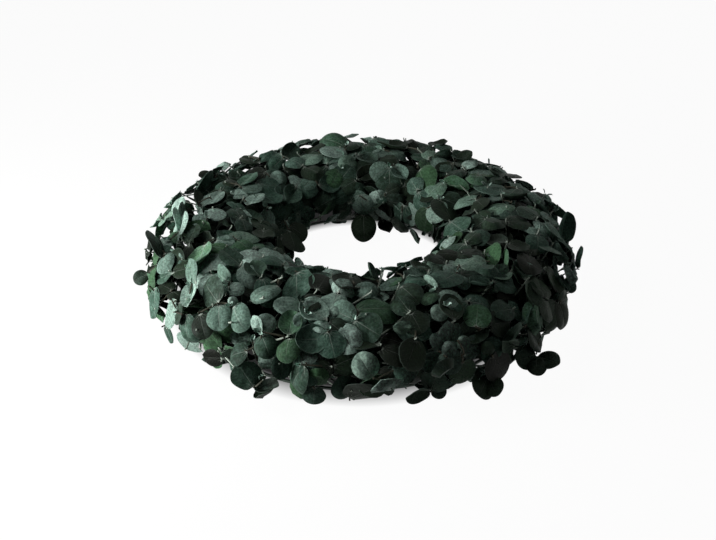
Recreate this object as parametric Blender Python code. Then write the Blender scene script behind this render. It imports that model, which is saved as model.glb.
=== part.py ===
"""A eucalyptus wreath lying flat: leafy sprigs bound in bunches to a four-ring wire frame.

Run it with: blender --background --python part.py, or from Blender's text editor.
Metres, +Z up. The origin is the centre of the wreath on the surface that it lies on.
"""

import math
import random

import bmesh
import bpy
from mathutils import Matrix, Vector
from mathutils.bvhtree import BVHTree

# ---- Driving dimensions -------------------------------------------------------------------------

WREATH_RADIUS = 0.148  # centre line of the frame and of the foliage round it
SEED = 7  # of every small difference between one sprig and the next

# Wire frame: two foot rings that stand on the surface, and two raised rings between them.
FRAME_WIRE_RADIUS = 0.0015
FOOT_OFFSET = 0.030  # of the foot rings, in and out from the centre line
RAISED_OFFSET = 0.010  # of the raised rings
RING_RISE = 0.012  # of the raised rings above the foot rings
RING_SIDES = 6
RING_SEGMENTS = 32
BRACE_RADIUS = 0.0012
BRACE_COUNT = 6
WELD_GAP = 0.0003  # between two wires where the real ones are welded

# Bunches: each is three sprigs side by side, bound to the raised rings near their cut ends.
BUNCH_COUNT = 12
BUNCH_STEP = 2 * math.pi / BUNCH_COUNT
SPRIG_SWEEP = math.radians(66)  # how far round the ring a sprig reaches
STEM_SIDE = 0.0019  # from the outer raised ring to each of the two stems that straddle it
STEM_RADIUS = 0.0016
STEM_TAPER = 0.5  # radius at the tip as a share of that at the cut end
TWIG_RADIUS = 0.0011
STEM_CLIMB = 0.010  # lifts a sprig over the bunches ahead of it
BOUND_SHARE = 0.35  # of a stem's sweep, before it leans away from the frame
LEAN_CURVE = 1.4
STEM_POINTS = 7
TWIG_POINTS = 3

# Section of the foliage round the centre line, that the stems' tips reach: half an ellipse above
# the foliage's middle height, and half a flatter one below it.
FOLIAGE_CENTRE = 0.040
TIP_REACH_OUT = 0.067
TIP_REACH_UP = 0.0430
TIP_REACH_DOWN = 0.037

# Each lane of a bunch: where its sprig starts beside the centre line, the angle that its main stem
# reaches round the foliage's section, in degrees from straight outwards, and where on that stem its
# leaf pairs are. Then its side twigs: where on the main stem each starts, how many degrees round the
# ring it goes, the angle that it reaches, and where its leaf pairs are.
LANES = {
    "outer": (
        RAISED_OFFSET + STEM_SIDE, 6, (0.68, 0.83, 0.98),
        ((0.36, 24, -34, (0.66, 0.96)), (0.56, 26, 40, (0.50, 0.96))),
    ),
    "top": (
        RAISED_OFFSET - STEM_SIDE, 90, (0.80, 0.98),
        ((0.38, 24, 112, (0.60, 0.96)), (0.58, 25, 66, (0.60, 0.96))),
    ),
    "inner": (
        -RAISED_OFFSET, 174, (0.96,),
        ((0.36, 24, 212, (0.96,)), (0.52, 24, 141, (0.50, 0.96))),
    ),
}

# Leaf pairs: two round leaves joined at the stem, drawn as one flat plate.
LEAF_LENGTH = 0.027
LEAF_WIDTH = 0.027
LEAF_WAIST = 0.0032
LEAF_THICKNESS = 0.0008
FACE_AHEAD = 0.20  # how far a pair turns from facing out of the foliage towards the stem's tip
CLEARANCE = 0.0004
FLOOR_CLEARANCE = 0.0005
PAIR_TRIES = 60
FLAT_ANGLE = math.radians(0.3)

# Binding wire: one long wire wound round the raised rings and the stems.
WIRE_RADIUS = 0.0004
TURNS_PER_BUNCH = 2
WRAP_START = 0.35  # where on its bunch's stems the first turn crosses, as a share of a turn's step
WRAP_GAP = 0.0009
WRAP_CORNER = 0.0012

FOOT_HEIGHT = FRAME_WIRE_RADIUS * math.sin(math.pi / 3)
RAISED_HEIGHT = FOOT_HEIGHT + RING_RISE
STEM_HEIGHT = RAISED_HEIGHT + FRAME_WIRE_RADIUS + CLEARANCE + STEM_RADIUS

# ---- Scene helpers ------------------------------------------------------------------------------


def clear_scene():
    for obj in list(bpy.data.objects):
        bpy.data.objects.remove(obj)


def material(name, colour, roughness, metallic=0.0):
    made = bpy.data.materials.new(name)
    made.use_nodes = True
    shader = made.node_tree.nodes["Principled BSDF"]
    shader.inputs["Base Color"].default_value = (*colour, 1.0)
    shader.inputs["Roughness"].default_value = roughness
    shader.inputs["Metallic"].default_value = metallic
    return made


def add_object(name, data, collection, finish=None):
    obj = bpy.data.objects.new(name, data)
    collection.objects.link(obj)
    if finish:
        data.materials.append(finish)
    return obj


def mesh_of(obj):
    """The evaluated mesh of an object, with its loose caps welded and its flat stretches joined."""
    bpy.context.view_layer.update()
    graph = bpy.context.evaluated_depsgraph_get()
    mesh = bpy.data.meshes.new_from_object(obj.evaluated_get(graph))
    shape = bmesh.new()
    shape.from_mesh(mesh)
    bmesh.ops.remove_doubles(shape, verts=shape.verts, dist=0.00001)
    bmesh.ops.dissolve_limit(shape, angle_limit=FLAT_ANGLE, verts=shape.verts, edges=shape.edges)
    bmesh.ops.recalc_face_normals(shape, faces=shape.faces)
    shape.to_mesh(mesh)
    shape.free()
    return mesh


def tube_mesh(points, radii, sides_step=0):
    """A tube through the points, with capped ends, as a mesh. sides_step 0 gives four sides."""
    curve = bpy.data.curves.new("tube", "CURVE")
    curve.dimensions = "3D"
    curve.bevel_depth = 1.0
    curve.bevel_resolution = sides_step
    curve.use_fill_caps = True
    spline = curve.splines.new("POLY")
    spline.points.add(len(points) - 1)
    for point, place, radius in zip(spline.points, points, radii):
        point.co = (*place, 1.0)
        point.radius = radius
    guide = bpy.data.objects.new("tube", curve)
    bpy.context.scene.collection.objects.link(guide)
    mesh = mesh_of(guide)
    bpy.data.objects.remove(guide)
    return mesh


# ---- Places round the wreath --------------------------------------------------------------------


def ring_point(angle, offset, height):
    """A point by its angle round the wreath, its offset from the centre line and its height."""
    radius = WREATH_RADIUS + offset
    return Vector((radius * math.cos(angle), radius * math.sin(angle), height))


def wobble(*key):
    """A number from -1 to 1 that belongs to this key."""
    return random.Random("-".join(map(str, (SEED, *key)))).uniform(-1, 1)


def stem_height(turned):
    """Height of a stem's centre, this far round the ring from its bunch's place on the frame."""
    return STEM_HEIGHT + STEM_CLIMB * turned / SPRIG_SWEEP


def section_tip(degrees, reach):
    """Offset and height of a tip at this angle round the foliage's section."""
    angle = math.radians(degrees)
    tall = TIP_REACH_UP if math.sin(angle) > 0 else TIP_REACH_DOWN
    return (
        TIP_REACH_OUT * reach * math.cos(angle),
        FOLIAGE_CENTRE + tall * reach * math.sin(angle),
    )


def outward(place, degrees):
    """The way out of the foliage, beside this place. Below the middle it is level."""
    angle = math.radians(min(max(degrees, 0), 180))
    spoke = Vector((place.x, place.y, 0)).normalized()
    across = spoke * math.cos(angle) / TIP_REACH_OUT
    return (across + Vector((0, 0, math.sin(angle) / TIP_REACH_UP))).normalized()


def main_stem(bunch, lane):
    """The path of a sprig's main stem, as a function of the share of its sweep."""
    beside, degrees, *_ = LANES[lane]
    start = bunch * BUNCH_STEP + math.radians(0.8) * wobble(bunch, lane, "start")
    sweep = SPRIG_SWEEP * (1 + 0.05 * wobble(bunch, lane, "sweep"))
    reach = 1 + 0.06 * wobble(bunch, lane, "reach")
    offset, height = section_tip(degrees + 6 * wobble(bunch, lane, "tip"), reach)

    def place(share):
        lean = (max(0.0, share - BOUND_SHARE) / (1 - BOUND_SHARE)) ** LEAN_CURVE
        up = stem_height(sweep * share)
        return ring_point(
            start + sweep * share,
            beside + (offset - beside) * lean,
            up + (height - up) * lean,
        )

    return place


def side_twig(root, bunch, lane, number):
    """The path of a side twig that leaves the main stem at root."""
    _, turn, degrees, _ = LANES[lane][3][number]
    start = math.atan2(root.y, root.x)
    across = math.hypot(root.x, root.y) - WREATH_RADIUS
    sweep = math.radians(turn * (1 + 0.10 * wobble(bunch, lane, number, "sweep")))
    reach = 1 + 0.06 * wobble(bunch, lane, number, "reach")
    offset, height = section_tip(degrees + 6 * wobble(bunch, lane, number, "tip"), reach)

    def place(share):
        lean = share**LEAN_CURVE
        return ring_point(
            start + sweep * share,
            across + (offset - across) * lean,
            root.z + (height - root.z) * lean,
        )

    return place


def along(path, count):
    return [path(i / (count - 1)) for i in range(count)]


# ---- Frame --------------------------------------------------------------------------------------


def frame_ring(name, offset, height, collection, finish):
    bpy.ops.mesh.primitive_torus_add(
        location=(0, 0, height),
        major_radius=WREATH_RADIUS + offset,
        minor_radius=FRAME_WIRE_RADIUS,
        major_segments=RING_SEGMENTS,
        minor_segments=RING_SIDES,
    )
    ring = bpy.context.object
    ring.name = name
    for other in list(ring.users_collection):
        other.objects.unlink(ring)
    collection.objects.link(ring)
    ring.data.materials.append(finish)


def frame_brace(name, angle, collection, finish):
    """A bent wire across the frame: on top of the foot rings, and under the raised ones."""
    touch = FRAME_WIRE_RADIUS + BRACE_RADIUS + WELD_GAP
    half = (
        (FOOT_OFFSET + FRAME_WIRE_RADIUS, FOOT_HEIGHT + touch),
        (FOOT_OFFSET - FRAME_WIRE_RADIUS, FOOT_HEIGHT + touch),
        (RAISED_OFFSET + 2 * FRAME_WIRE_RADIUS, RAISED_HEIGHT - touch),
    )
    profile = list(half) + [(-offset, height) for offset, height in reversed(half)]
    points = [ring_point(angle, offset, height) for offset, height in profile]
    mesh = tube_mesh(points, [BRACE_RADIUS] * len(points), sides_step=1)
    add_object(name, mesh, collection, finish)


def binding_wire(collection, finish):
    """One wire wound round the raised rings and the stems that lie on them."""
    step = BUNCH_STEP / TURNS_PER_BUNCH
    over_stems = STEM_RADIUS + WIRE_RADIUS + CLEARANCE
    under_rings = RAISED_HEIGHT - STEM_HEIGHT - FRAME_WIRE_RADIUS - WIRE_RADIUS - WRAP_GAP
    outer_stem = RAISED_OFFSET + STEM_SIDE
    outer_side = outer_stem + over_stems + WRAP_CORNER / 2
    inner_side = -RAISED_OFFSET - over_stems - WRAP_CORNER / 2
    # Each turn comes up inside the rings, crosses the stems, and goes down outside the rings.
    turn = (
        (-0.32, -RAISED_OFFSET - WRAP_CORNER, under_rings),
        (-0.24, inner_side, RAISED_HEIGHT - STEM_HEIGHT),
        (-0.14, inner_side, 0.0),
        (-0.06, -RAISED_OFFSET - WRAP_CORNER, over_stems),
        (0.06, outer_stem + WRAP_CORNER, over_stems),
        (0.14, outer_side, 0.0),
        (0.24, outer_side - WRAP_CORNER, RAISED_HEIGHT - STEM_HEIGHT),
        (0.32, RAISED_OFFSET + WRAP_CORNER, under_rings),
    )
    points = []
    for crossing in range(BUNCH_COUNT * TURNS_PER_BUNCH):
        turned = step * (WRAP_START + crossing % TURNS_PER_BUNCH)
        for part, offset, height in turn:
            on_stems = abs(part) < 0.2
            level = stem_height(max(0.0, turned + step * part)) if on_stems else STEM_HEIGHT
            points.append(ring_point(step * (WRAP_START + crossing + part), offset, level + height))
    mesh = tube_mesh(points, [WIRE_RADIUS] * len(points))
    add_object("binding_wire", mesh, collection, finish)


# ---- Sprigs -------------------------------------------------------------------------------------


def leaf_pair_mesh():
    """Two round leaves joined at the stem, in the XY plane."""
    right = ((0.26, 0.46), (0.74, 0.46), (1.0, 0.0), (0.74, -0.46), (0.26, -0.46))
    left = [(-x, -y) for x, y in right]
    waist = LEAF_WAIST / LEAF_WIDTH
    outline = [(0, waist), *right, (0, -waist), *left]
    curve = bpy.data.curves.new("leaf_pair", "CURVE")
    curve.dimensions = "2D"
    curve.fill_mode = "BOTH"
    curve.extrude = LEAF_THICKNESS / 2
    spline = curve.splines.new("POLY")
    spline.points.add(len(outline) - 1)
    for point, (x, y) in zip(spline.points, outline):
        point.co = (x * LEAF_LENGTH, y * LEAF_WIDTH, 0, 1)
    spline.use_cyclic_u = True
    guide = bpy.data.objects.new("leaf_pair", curve)
    bpy.context.scene.collection.objects.link(guide)
    mesh = mesh_of(guide)
    bpy.data.objects.remove(guide)
    return mesh


def tree_of(mesh, matrix=None, grow=1.0, thicken=1.0):
    """A search tree of the mesh's faces, with the mesh made larger by grow and thicker by thicken."""
    matrix = matrix or Matrix.Identity(4)
    swell = Matrix.Diagonal((grow, grow, thicken, 1))
    points = [matrix @ swell @ vertex.co for vertex in mesh.vertices]
    return BVHTree.FromPolygons(points, [face.vertices[:] for face in mesh.polygons]), points


def pair_matrix(path, share, degrees, twist, tilt, scale):
    """Where a leaf pair sits: on the stem, facing out of the foliage and a little towards the tip."""
    place = path(share)
    ahead = (path(share + 0.02) - path(share - 0.02)).normalized()
    facing = outward(place, degrees).lerp(ahead, FACE_AHEAD).normalized()
    across = ahead.cross(facing).normalized()
    base = Matrix((across, facing.cross(across), facing)).transposed().to_4x4()
    turn = Matrix.Rotation(twist, 4, "Z") @ Matrix.Rotation(tilt, 4, "X")
    return Matrix.Translation(place) @ base @ turn @ Matrix.Diagonal((scale, scale, 1, 1))


def place_pair(path, share, degrees, key, pair, taken):
    """The first pose of a leaf pair that is clear of everything placed before, or None."""
    pick = random.Random(f"{SEED}-{key}")
    grow = 1 + CLEARANCE / LEAF_LENGTH
    thicken = 1 + 2 * CLEARANCE / LEAF_THICKNESS
    for attempt in range(PAIR_TRIES):
        freedom = 0.3 + attempt / PAIR_TRIES
        twist = pick.uniform(-1.3, 1.3) * freedom
        tilt = pick.uniform(-0.6, 0.6) * freedom
        scale = pick.uniform(0.92, 1.08) * (1 - 0.25 * attempt / PAIR_TRIES)
        matrix = pair_matrix(path, share, degrees, twist, tilt, scale)
        tree, points = tree_of(pair, matrix, grow, thicken)
        low = min(point.z for point in points)
        if low > FLOOR_CLEARANCE and not any(tree.overlap(other) for other in taken):
            return matrix
    return None


def union(name, parts, collection, finish):
    """One closed body made of all the parts, each a mesh and its place."""
    pieces = bpy.data.collections.new("pieces")
    bpy.context.scene.collection.children.link(pieces)
    first, *others = parts
    whole = add_object(name, first[0], collection)
    for mesh, matrix in others:
        piece = add_object("piece", mesh, pieces)
        piece.matrix_world = matrix
    boolean = whole.modifiers.new("union", "BOOLEAN")
    boolean.operation = "UNION"
    boolean.operand_type = "COLLECTION"
    boolean.collection = pieces
    joined = mesh_of(whole)
    whole.modifiers.clear()
    whole.data = joined
    joined.materials.clear()
    joined.materials.append(finish)
    for piece in list(pieces.objects):
        bpy.data.objects.remove(piece)
    bpy.data.collections.remove(pieces)


def stem_meshes(paths):
    """Tapering tubes along the main stem and the side twigs."""
    meshes = []
    for number, path in enumerate(paths):
        count = TWIG_POINTS if number else STEM_POINTS
        thick = TWIG_RADIUS if number else STEM_RADIUS
        thin = STEM_RADIUS * STEM_TAPER
        radii = [thick + (thin - thick) * i / (count - 1) for i in range(count)]
        meshes.append(tube_mesh(along(path, count), radii))
    return meshes


def build_sprigs(collection, finish, taken):
    """Every sprig: the stems first, then the leaf pairs wherever they fit."""
    sprigs = []
    for bunch in range(BUNCH_COUNT):
        for lane, (_, degrees, leaves, twigs) in LANES.items():
            main = main_stem(bunch, lane)
            paths = [main]
            spots = [(main, share, degrees) for share in leaves]
            for number, (rooted, _, reaches, twig_leaves) in enumerate(twigs):
                twig = side_twig(main(rooted), bunch, lane, number)
                paths.append(twig)
                spots += [(twig, share, reaches) for share in twig_leaves]
            sprigs.append((f"sprig_{lane}_{bunch + 1:02d}", stem_meshes(paths), spots))
    stem_trees = {name: [tree_of(mesh)[0] for mesh in tubes] for name, tubes, _ in sprigs}
    pair = leaf_pair_mesh()
    placed = []
    for name, tubes, spots in sprigs:
        others = [tree for key, trees in stem_trees.items() if key != name for tree in trees]
        parts = [(mesh, Matrix.Identity(4)) for mesh in tubes]
        for number, (path, share, degrees) in enumerate(spots):
            matrix = place_pair(path, share, degrees, f"{name}-{number}", pair, taken + others + placed)
            if matrix:
                placed.append(tree_of(pair, matrix)[0])
                parts.append((pair, matrix))
        union(name, parts, collection, finish)


# ---- The wreath ---------------------------------------------------------------------------------


def main():
    clear_scene()
    wreath = bpy.data.collections.new("eucalyptus_wreath")
    bpy.context.scene.collection.children.link(wreath)
    steel = material("lacquered_steel_wire", (0.03, 0.06, 0.04), 0.45)
    paddle_wire = material("green_paddle_wire", (0.03, 0.09, 0.05), 0.40)
    leaf = material("eucalyptus_leaf", (0.06, 0.11, 0.08), 0.65)

    frame_ring("frame_ring_inner_foot", -FOOT_OFFSET, FOOT_HEIGHT, wreath, steel)
    frame_ring("frame_ring_inner_raised", -RAISED_OFFSET, RAISED_HEIGHT, wreath, steel)
    frame_ring("frame_ring_outer_raised", RAISED_OFFSET, RAISED_HEIGHT, wreath, steel)
    frame_ring("frame_ring_outer_foot", FOOT_OFFSET, FOOT_HEIGHT, wreath, steel)
    for number in range(BRACE_COUNT):
        angle = 2 * math.pi * number / BRACE_COUNT + WRAP_START * BUNCH_STEP / TURNS_PER_BUNCH
        frame_brace(f"frame_brace_{number + 1}", angle, wreath, steel)
    binding_wire(wreath, paddle_wire)

    bpy.context.view_layer.update()
    taken = []
    for obj in wreath.objects:
        taken.append(tree_of(obj.data, obj.matrix_world)[0])
    build_sprigs(wreath, leaf, taken)


main()
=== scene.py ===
import math
import random

import bpy
import numpy as np
from mathutils import Matrix, Vector


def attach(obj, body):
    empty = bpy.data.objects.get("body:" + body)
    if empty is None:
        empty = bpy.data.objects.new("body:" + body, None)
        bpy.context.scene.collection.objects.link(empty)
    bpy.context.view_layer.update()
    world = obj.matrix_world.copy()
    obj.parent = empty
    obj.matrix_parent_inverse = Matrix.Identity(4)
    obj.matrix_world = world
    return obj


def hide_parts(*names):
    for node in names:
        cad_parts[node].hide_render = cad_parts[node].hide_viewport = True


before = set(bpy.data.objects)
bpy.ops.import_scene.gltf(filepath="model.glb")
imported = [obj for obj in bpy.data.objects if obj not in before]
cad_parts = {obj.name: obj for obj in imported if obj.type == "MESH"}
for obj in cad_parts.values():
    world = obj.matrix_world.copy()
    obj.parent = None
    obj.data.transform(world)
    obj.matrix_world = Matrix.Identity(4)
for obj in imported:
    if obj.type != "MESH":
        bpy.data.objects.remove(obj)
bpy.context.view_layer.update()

# A eucalyptus wreath lying flat: its leafy sprigs, the wire frame under them, and the studio.
# Metres, Z up, with the middle of the wreath at the origin on the table.

print("frame loaded:", len(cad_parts), "solids")

# sizes that the solids are built on too
wreath = {
    "radius": 0.148,  # centre line of the frame and of the foliage
    "seed": 7,
    "bunches": 12,
    "sweep": 66,  # degrees of the ring that one sprig covers
    "footOffset": 0.030,  # of the two foot rings, in and out from the centre line
    "raisedOffset": 0.010,
    "frameWire": 0.0015,
    "ringRise": 0.012,
    "stemRadius": 0.0016,
    "stemSide": 0.0019,
    "clearance": 0.0004,
    "stemClimb": 0.010,
    "boundShare": 0.35,  # of a sprig, along the frame before it leans out
    "leanCurve": 1.4,
    "middleHeight": 0.040,  # of the foliage's section
    "reachOut": 0.067,
    "reachUp": 0.043,
    "reachDown": 0.037,
}
bunchStep = 2 * math.pi / wreath["bunches"]
sprigSweep = math.radians(wreath["sweep"])
footHeight = wreath["frameWire"] * math.sin(math.pi / 3)
raisedHeight = footHeight + wreath["ringRise"]
stemHeight = raisedHeight + wreath["frameWire"] + wreath["clearance"] + wreath["stemRadius"]


def ringPoint(angle, offset, height):
    radius = wreath["radius"] + offset
    return Vector((radius * math.cos(angle), radius * math.sin(angle), height))


def wobble(*key):
    # from -1 to 1, the same for the same key on every run
    return random.Random("-".join(map(str, (wreath["seed"], *key)))).uniform(-1, 1)


def selectOnly(*objects):
    if bpy.context.mode != "OBJECT":
        bpy.ops.object.mode_set(mode="OBJECT")
    bpy.ops.object.select_all(action="DESELECT")
    for obj in objects:
        obj.select_set(True)
        bpy.context.view_layer.objects.active = objects[0]


def pickPoints(obj, test):
    # leaves edit mode on, with only the points that pass the test selected
    bpy.ops.object.mode_set(mode="OBJECT")
    for part in (obj.data.vertices, obj.data.edges, obj.data.polygons):
        part.foreach_set("select", [False] * len(part))
    for point in obj.data.vertices:
        point.select = test(point.co)
    bpy.ops.object.mode_set(mode="EDIT")


def finishMesh(obj, name, smoothAngle):
    # welds what meets, turns the faces outwards and puts the object's place into its mesh
    selectOnly(obj)
    obj.name = obj.data.name = name
    bpy.ops.object.transform_apply(location=True, rotation=True, scale=True)
    bpy.ops.object.mode_set(mode="EDIT")
    bpy.ops.mesh.select_all(action="SELECT")
    bpy.ops.mesh.remove_doubles(threshold=0.00001)
    bpy.ops.mesh.normals_make_consistent(inside=False)
    bpy.ops.object.mode_set(mode="OBJECT")
    bpy.ops.object.shade_smooth_by_angle(angle=math.radians(smoothAngle))


def linkObject(name, data):
    made = bpy.data.objects.new(name, data)
    bpy.context.scene.collection.objects.link(made)
    return made


def paintPoints(mesh, name, values):
    mesh.attributes.new(name, "FLOAT", "POINT").data.foreach_set("value", values)


def wireThrough(name, route, sides=1):
    # a round wire through places, each with its radius there
    curve = bpy.data.curves.new(name, "CURVE")
    curve.dimensions = "3D"
    curve.bevel_depth = 1.0
    curve.bevel_resolution = sides
    curve.use_fill_caps = True
    spline = curve.splines.new("POLY")
    spline.points.add(len(route) - 1)
    for point, (place, radius) in zip(spline.points, route):
        point.co = (*place, 1)
        point.radius = radius
    selectOnly(linkObject(name, curve))
    bpy.ops.object.convert(target="MESH")
    made = bpy.context.object
    finishMesh(made, name, smoothAngle=50)
    return made


def standFor(obj, slot, *nodes):
    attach(obj, "root")
    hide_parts(*nodes)


def linear(code):
    parts = [int(code[i:i + 2], 16) / 255 for i in (1, 3, 5)]
    return (*[p / 12.92 if p <= 0.04045 else ((p + 0.055) / 1.055) ** 2.4 for p in parts], 1)


def setInputs(node, inputs):
    # by name or number, or a list from the first on: a node is linked by its first live output
    for name, value in inputs.items() if isinstance(inputs, dict) else enumerate(inputs):
        if isinstance(value, bpy.types.Node):
            value = next(output for output in value.outputs if output.enabled)
        if isinstance(value, bpy.types.NodeSocket):
            node.id_data.links.new(value, node.inputs[name])
        else:
            node.inputs[name].default_value = value


def addNode(tree, kind, inputs=(), **settings):
    made = tree.nodes.new("ShaderNode" + kind)
    for name, value in settings.items():
        setattr(made, name, value)
    setInputs(made, inputs)
    return made


def newMaterial(name, sockets):
    made = bpy.data.materials.new(name)
    made.use_nodes = True
    tree = made.node_tree
    shader = tree.nodes["Principled BSDF"]
    setInputs(shader, sockets)
    return made, tree, shader, addNode(tree, "TexCoord").outputs["Object"]


# Preserved eucalyptus leaf: dark green, soaked in glycerine, under a thin waxy bloom that lies in
# patches and looks grey-blue and matt. The midrib, the side veins and the rim are paler.
leafFinish = {
    "tones": ((0.0, "#0e100b"), (0.3, "#172218"), (0.65, "#395648"), (1.0, "#b7d2c5")),
    "olive": "#4c7350",
    "bloom": "#86a497",
    "vein": "#c0ccc0",
    "rim": "#83958b",
    "sheen": "#c3d2cb",
    "bloomPatch": 0.006,  # metres across one patch of bloom
    "mottle": 0.0020,
    "grain": 0.0013,  # of the fine net of veinlets
    "sideVeins": 7,  # along half of the blade
    "baseRays": 7,  # short veins that fan out from where the blade clasps the stem
    "veinSlope": 4.5,
    "bump": 0.6,
    "relief": 0.0005,
    # each goes from two levels of what drives it to two levels of what it sets
    "bloomShare": (0.42, 0.68, 0.04, 0.5),
    "mottleLevel": (0.36, 0.64, 0.66, 1.32),
    "netLevel": (0.15, 0.75, 0.84, 1.22),
    "ribEdge": (0.008, 0.020, 1.0, 0.0),  # in shares of the blade's width from the midrib
    "ribFade": (0.1, 0.95, 0.7, 0.12),
    "sideEdge": (0.02, 0.09, 0.10, 0.0),
    "rayEdge": (0.04, 0.16, 1.0, 0.0),
    "rayFade": (0.06, 0.34, 1.0, 0.0),
    "veinLevel": (0.1, 0.7, 0.22, 0.7),
    "claspPale": (0.03, 0.13, 0.85, 0.0),
    "rimPale": (0.97, 1.0, 0.0, 0.22),
    "gloss": (0.0, 0.4, 0.52, 0.74),
}


def leafMaterial():
    look = leafFinish
    made, tree, shader, at = newMaterial("preservedEucalyptusLeaf", {
        "IOR": 1.45, "Specular IOR Level": 0.08, "Sheen Weight": 0.02, "Sheen Roughness": 0.5,
        "Sheen Tint": linear(look["sheen"]),
    })
    blade = addNode(tree, "UVMap", uv_map="bladeMap")
    split = addNode(tree, "SeparateXYZ", [blade])
    along = split.outputs["X"]
    fromRib = addNode(tree, "Math", [split.outputs["Y"], 0.5], operation="SUBTRACT")
    beside = addNode(tree, "Math", [fromRib], operation="ABSOLUTE")
    tone, warmth, rimShare = (addNode(tree, "Attribute", attribute_name=name).outputs["Fac"]
                              for name in ("tone", "warmth", "rimShare"))

    # each leaf has its own green
    ramp = addNode(tree, "ValToRGB", {"Fac": tone})
    stops = ramp.color_ramp.elements
    while len(stops) < len(look["tones"]):
        stops.new(0.5)
    for stop, (place, code) in zip(stops, look["tones"]):
        stop.position = place
        stop.color = linear(code)
    colour = addNode(tree, "Mix", {0: warmth, 6: ramp, 7: linear(look["olive"])}, data_type="RGBA")

    # bloom in patches, thicker on the paler leaves, then a mottle and the net of veinlets
    patches = addNode(tree, "TexNoise",
                      {"Vector": at, "Scale": 1 / look["bloomPatch"], "Detail": 3})
    patchShare = addNode(tree, "MapRange", [patches, *look["bloomShare"]])
    bloomy = addNode(tree, "Math", [patchShare, tone], operation="MULTIPLY")
    colour = addNode(tree, "Mix", {0: bloomy, 6: colour, 7: linear(look["bloom"])},
                     data_type="RGBA")
    speckle = addNode(tree, "TexNoise", {"Vector": at, "Scale": 1 / look["mottle"], "Detail": 2})
    net = addNode(tree, "TexVoronoi", {"Vector": at, "Scale": 1 / look["grain"]}, feature="F1")
    for pattern, levels in ((speckle, look["mottleLevel"]), (net, look["netLevel"])):
        level = addNode(tree, "MapRange", [pattern, *levels])
        colour = addNode(tree, "HueSaturation", {"Value": level, "Color": colour})

    # midrib, fading towards the tip, and side veins that curve forward from it
    ribEdge = addNode(tree, "MapRange", [beside, *look["ribEdge"]])
    ribFade = addNode(tree, "MapRange", [along, *look["ribFade"]])
    rib = addNode(tree, "Math", [ribEdge, ribFade], operation="MULTIPLY")
    slope = addNode(tree, "Math", [beside, -look["veinSlope"] / look["sideVeins"]],
                    operation="MULTIPLY")
    forward = addNode(tree, "Math", [along, slope], operation="ADD")
    counted = addNode(tree, "Math", [forward, look["sideVeins"]], operation="MULTIPLY")
    fold = addNode(tree, "Math", [counted, 0.5], operation="PINGPONG")
    sideEdge = addNode(tree, "MapRange", [fold, *look["sideEdge"]])
    ribbed = addNode(tree, "Math", [rib, sideEdge], operation="MAXIMUM")

    # rays from the base, and how much all the veins show
    around = addNode(tree, "Math", [fromRib, along], operation="ARCTAN2")
    rayCount = addNode(tree, "Math", [around, look["baseRays"] / math.pi], operation="MULTIPLY")
    rayFold = addNode(tree, "Math", [rayCount, 0.5], operation="PINGPONG")
    rayEdge = addNode(tree, "MapRange", [rayFold, *look["rayEdge"]])
    fromBase = addNode(tree, "VectorMath", [blade, (0.0, 0.5, 0.0)], operation="DISTANCE")
    rayFade = addNode(tree, "MapRange", [fromBase, *look["rayFade"]])
    rays = addNode(tree, "Math", [rayEdge, rayFade], operation="MULTIPLY")
    veins = addNode(tree, "Math", [ribbed, rays], operation="MAXIMUM")
    veinLevel = addNode(tree, "MapRange", [tone, *look["veinLevel"]])
    veinShare = addNode(tree, "Math", [veins, veinLevel], operation="MULTIPLY")

    # the veins are pale, and so are the blade where it clasps the stem and its rim
    claspPale = addNode(tree, "MapRange", [fromBase, *look["claspPale"]])
    rimPale = addNode(tree, "MapRange", [rimShare, *look["rimPale"]])
    for share, code in ((veinShare, "vein"), (claspPale, "vein"), (rimPale, "rim")):
        colour = addNode(tree, "Mix", {0: share, 6: colour, 7: linear(look[code])},
                         data_type="RGBA")
    gloss = addNode(tree, "MapRange", [bloomy, *look["gloss"]])
    height = addNode(tree, "Math", [speckle, veins], operation="SUBTRACT")
    bump = addNode(tree, "Bump", {
        "Height": height, "Strength": look["bump"], "Distance": look["relief"]})
    setInputs(shader, {"Base Color": colour, "Roughness": gloss, "Normal": bump})
    return made


# Young eucalyptus bark: smooth and pale grey-green near the tips, brown and faintly ribbed near
# the cut ends.
barkFinish = {
    "tip": "#b4c1b3",
    "old": "#3b3b2e",
    "streak": "#2a291f",
    "ribs": 0.0011,
    "ageShift": (0.3, 0.7, -0.2, 0.2),
    "streaks": (0.52, 0.75, 0.0, 0.6),
    "bump": 0.5,
    "relief": 0.0002,
}


def barkMaterial():
    look = barkFinish
    made, tree, shader, at = newMaterial("youngEucalyptusBark", {
        "IOR": 1.45, "Roughness": 0.62, "Specular IOR Level": 0.3})
    age = addNode(tree, "Attribute", attribute_name="tone").outputs["Fac"]
    grain = addNode(tree, "TexNoise", {"Vector": at, "Scale": 1 / look["ribs"], "Detail": 3})
    shift = addNode(tree, "MapRange", [grain, *look["ageShift"]])
    aged = addNode(tree, "Math", [age, shift], operation="ADD", use_clamp=True)
    streaks = addNode(tree, "MapRange", [grain, *look["streaks"]])
    streaked = addNode(tree, "Math", [streaks, age], operation="MULTIPLY")
    colour = linear(look["tip"])
    for share, code in ((aged, "old"), (streaked, "streak")):
        colour = addNode(tree, "Mix", {0: share, 6: colour, 7: linear(look[code])},
                         data_type="RGBA")
    bump = addNode(tree, "Bump", {
        "Height": grain, "Strength": look["bump"], "Distance": look["relief"]})
    setInputs(shader, {"Base Color": colour, "Normal": bump})
    return made


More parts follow.
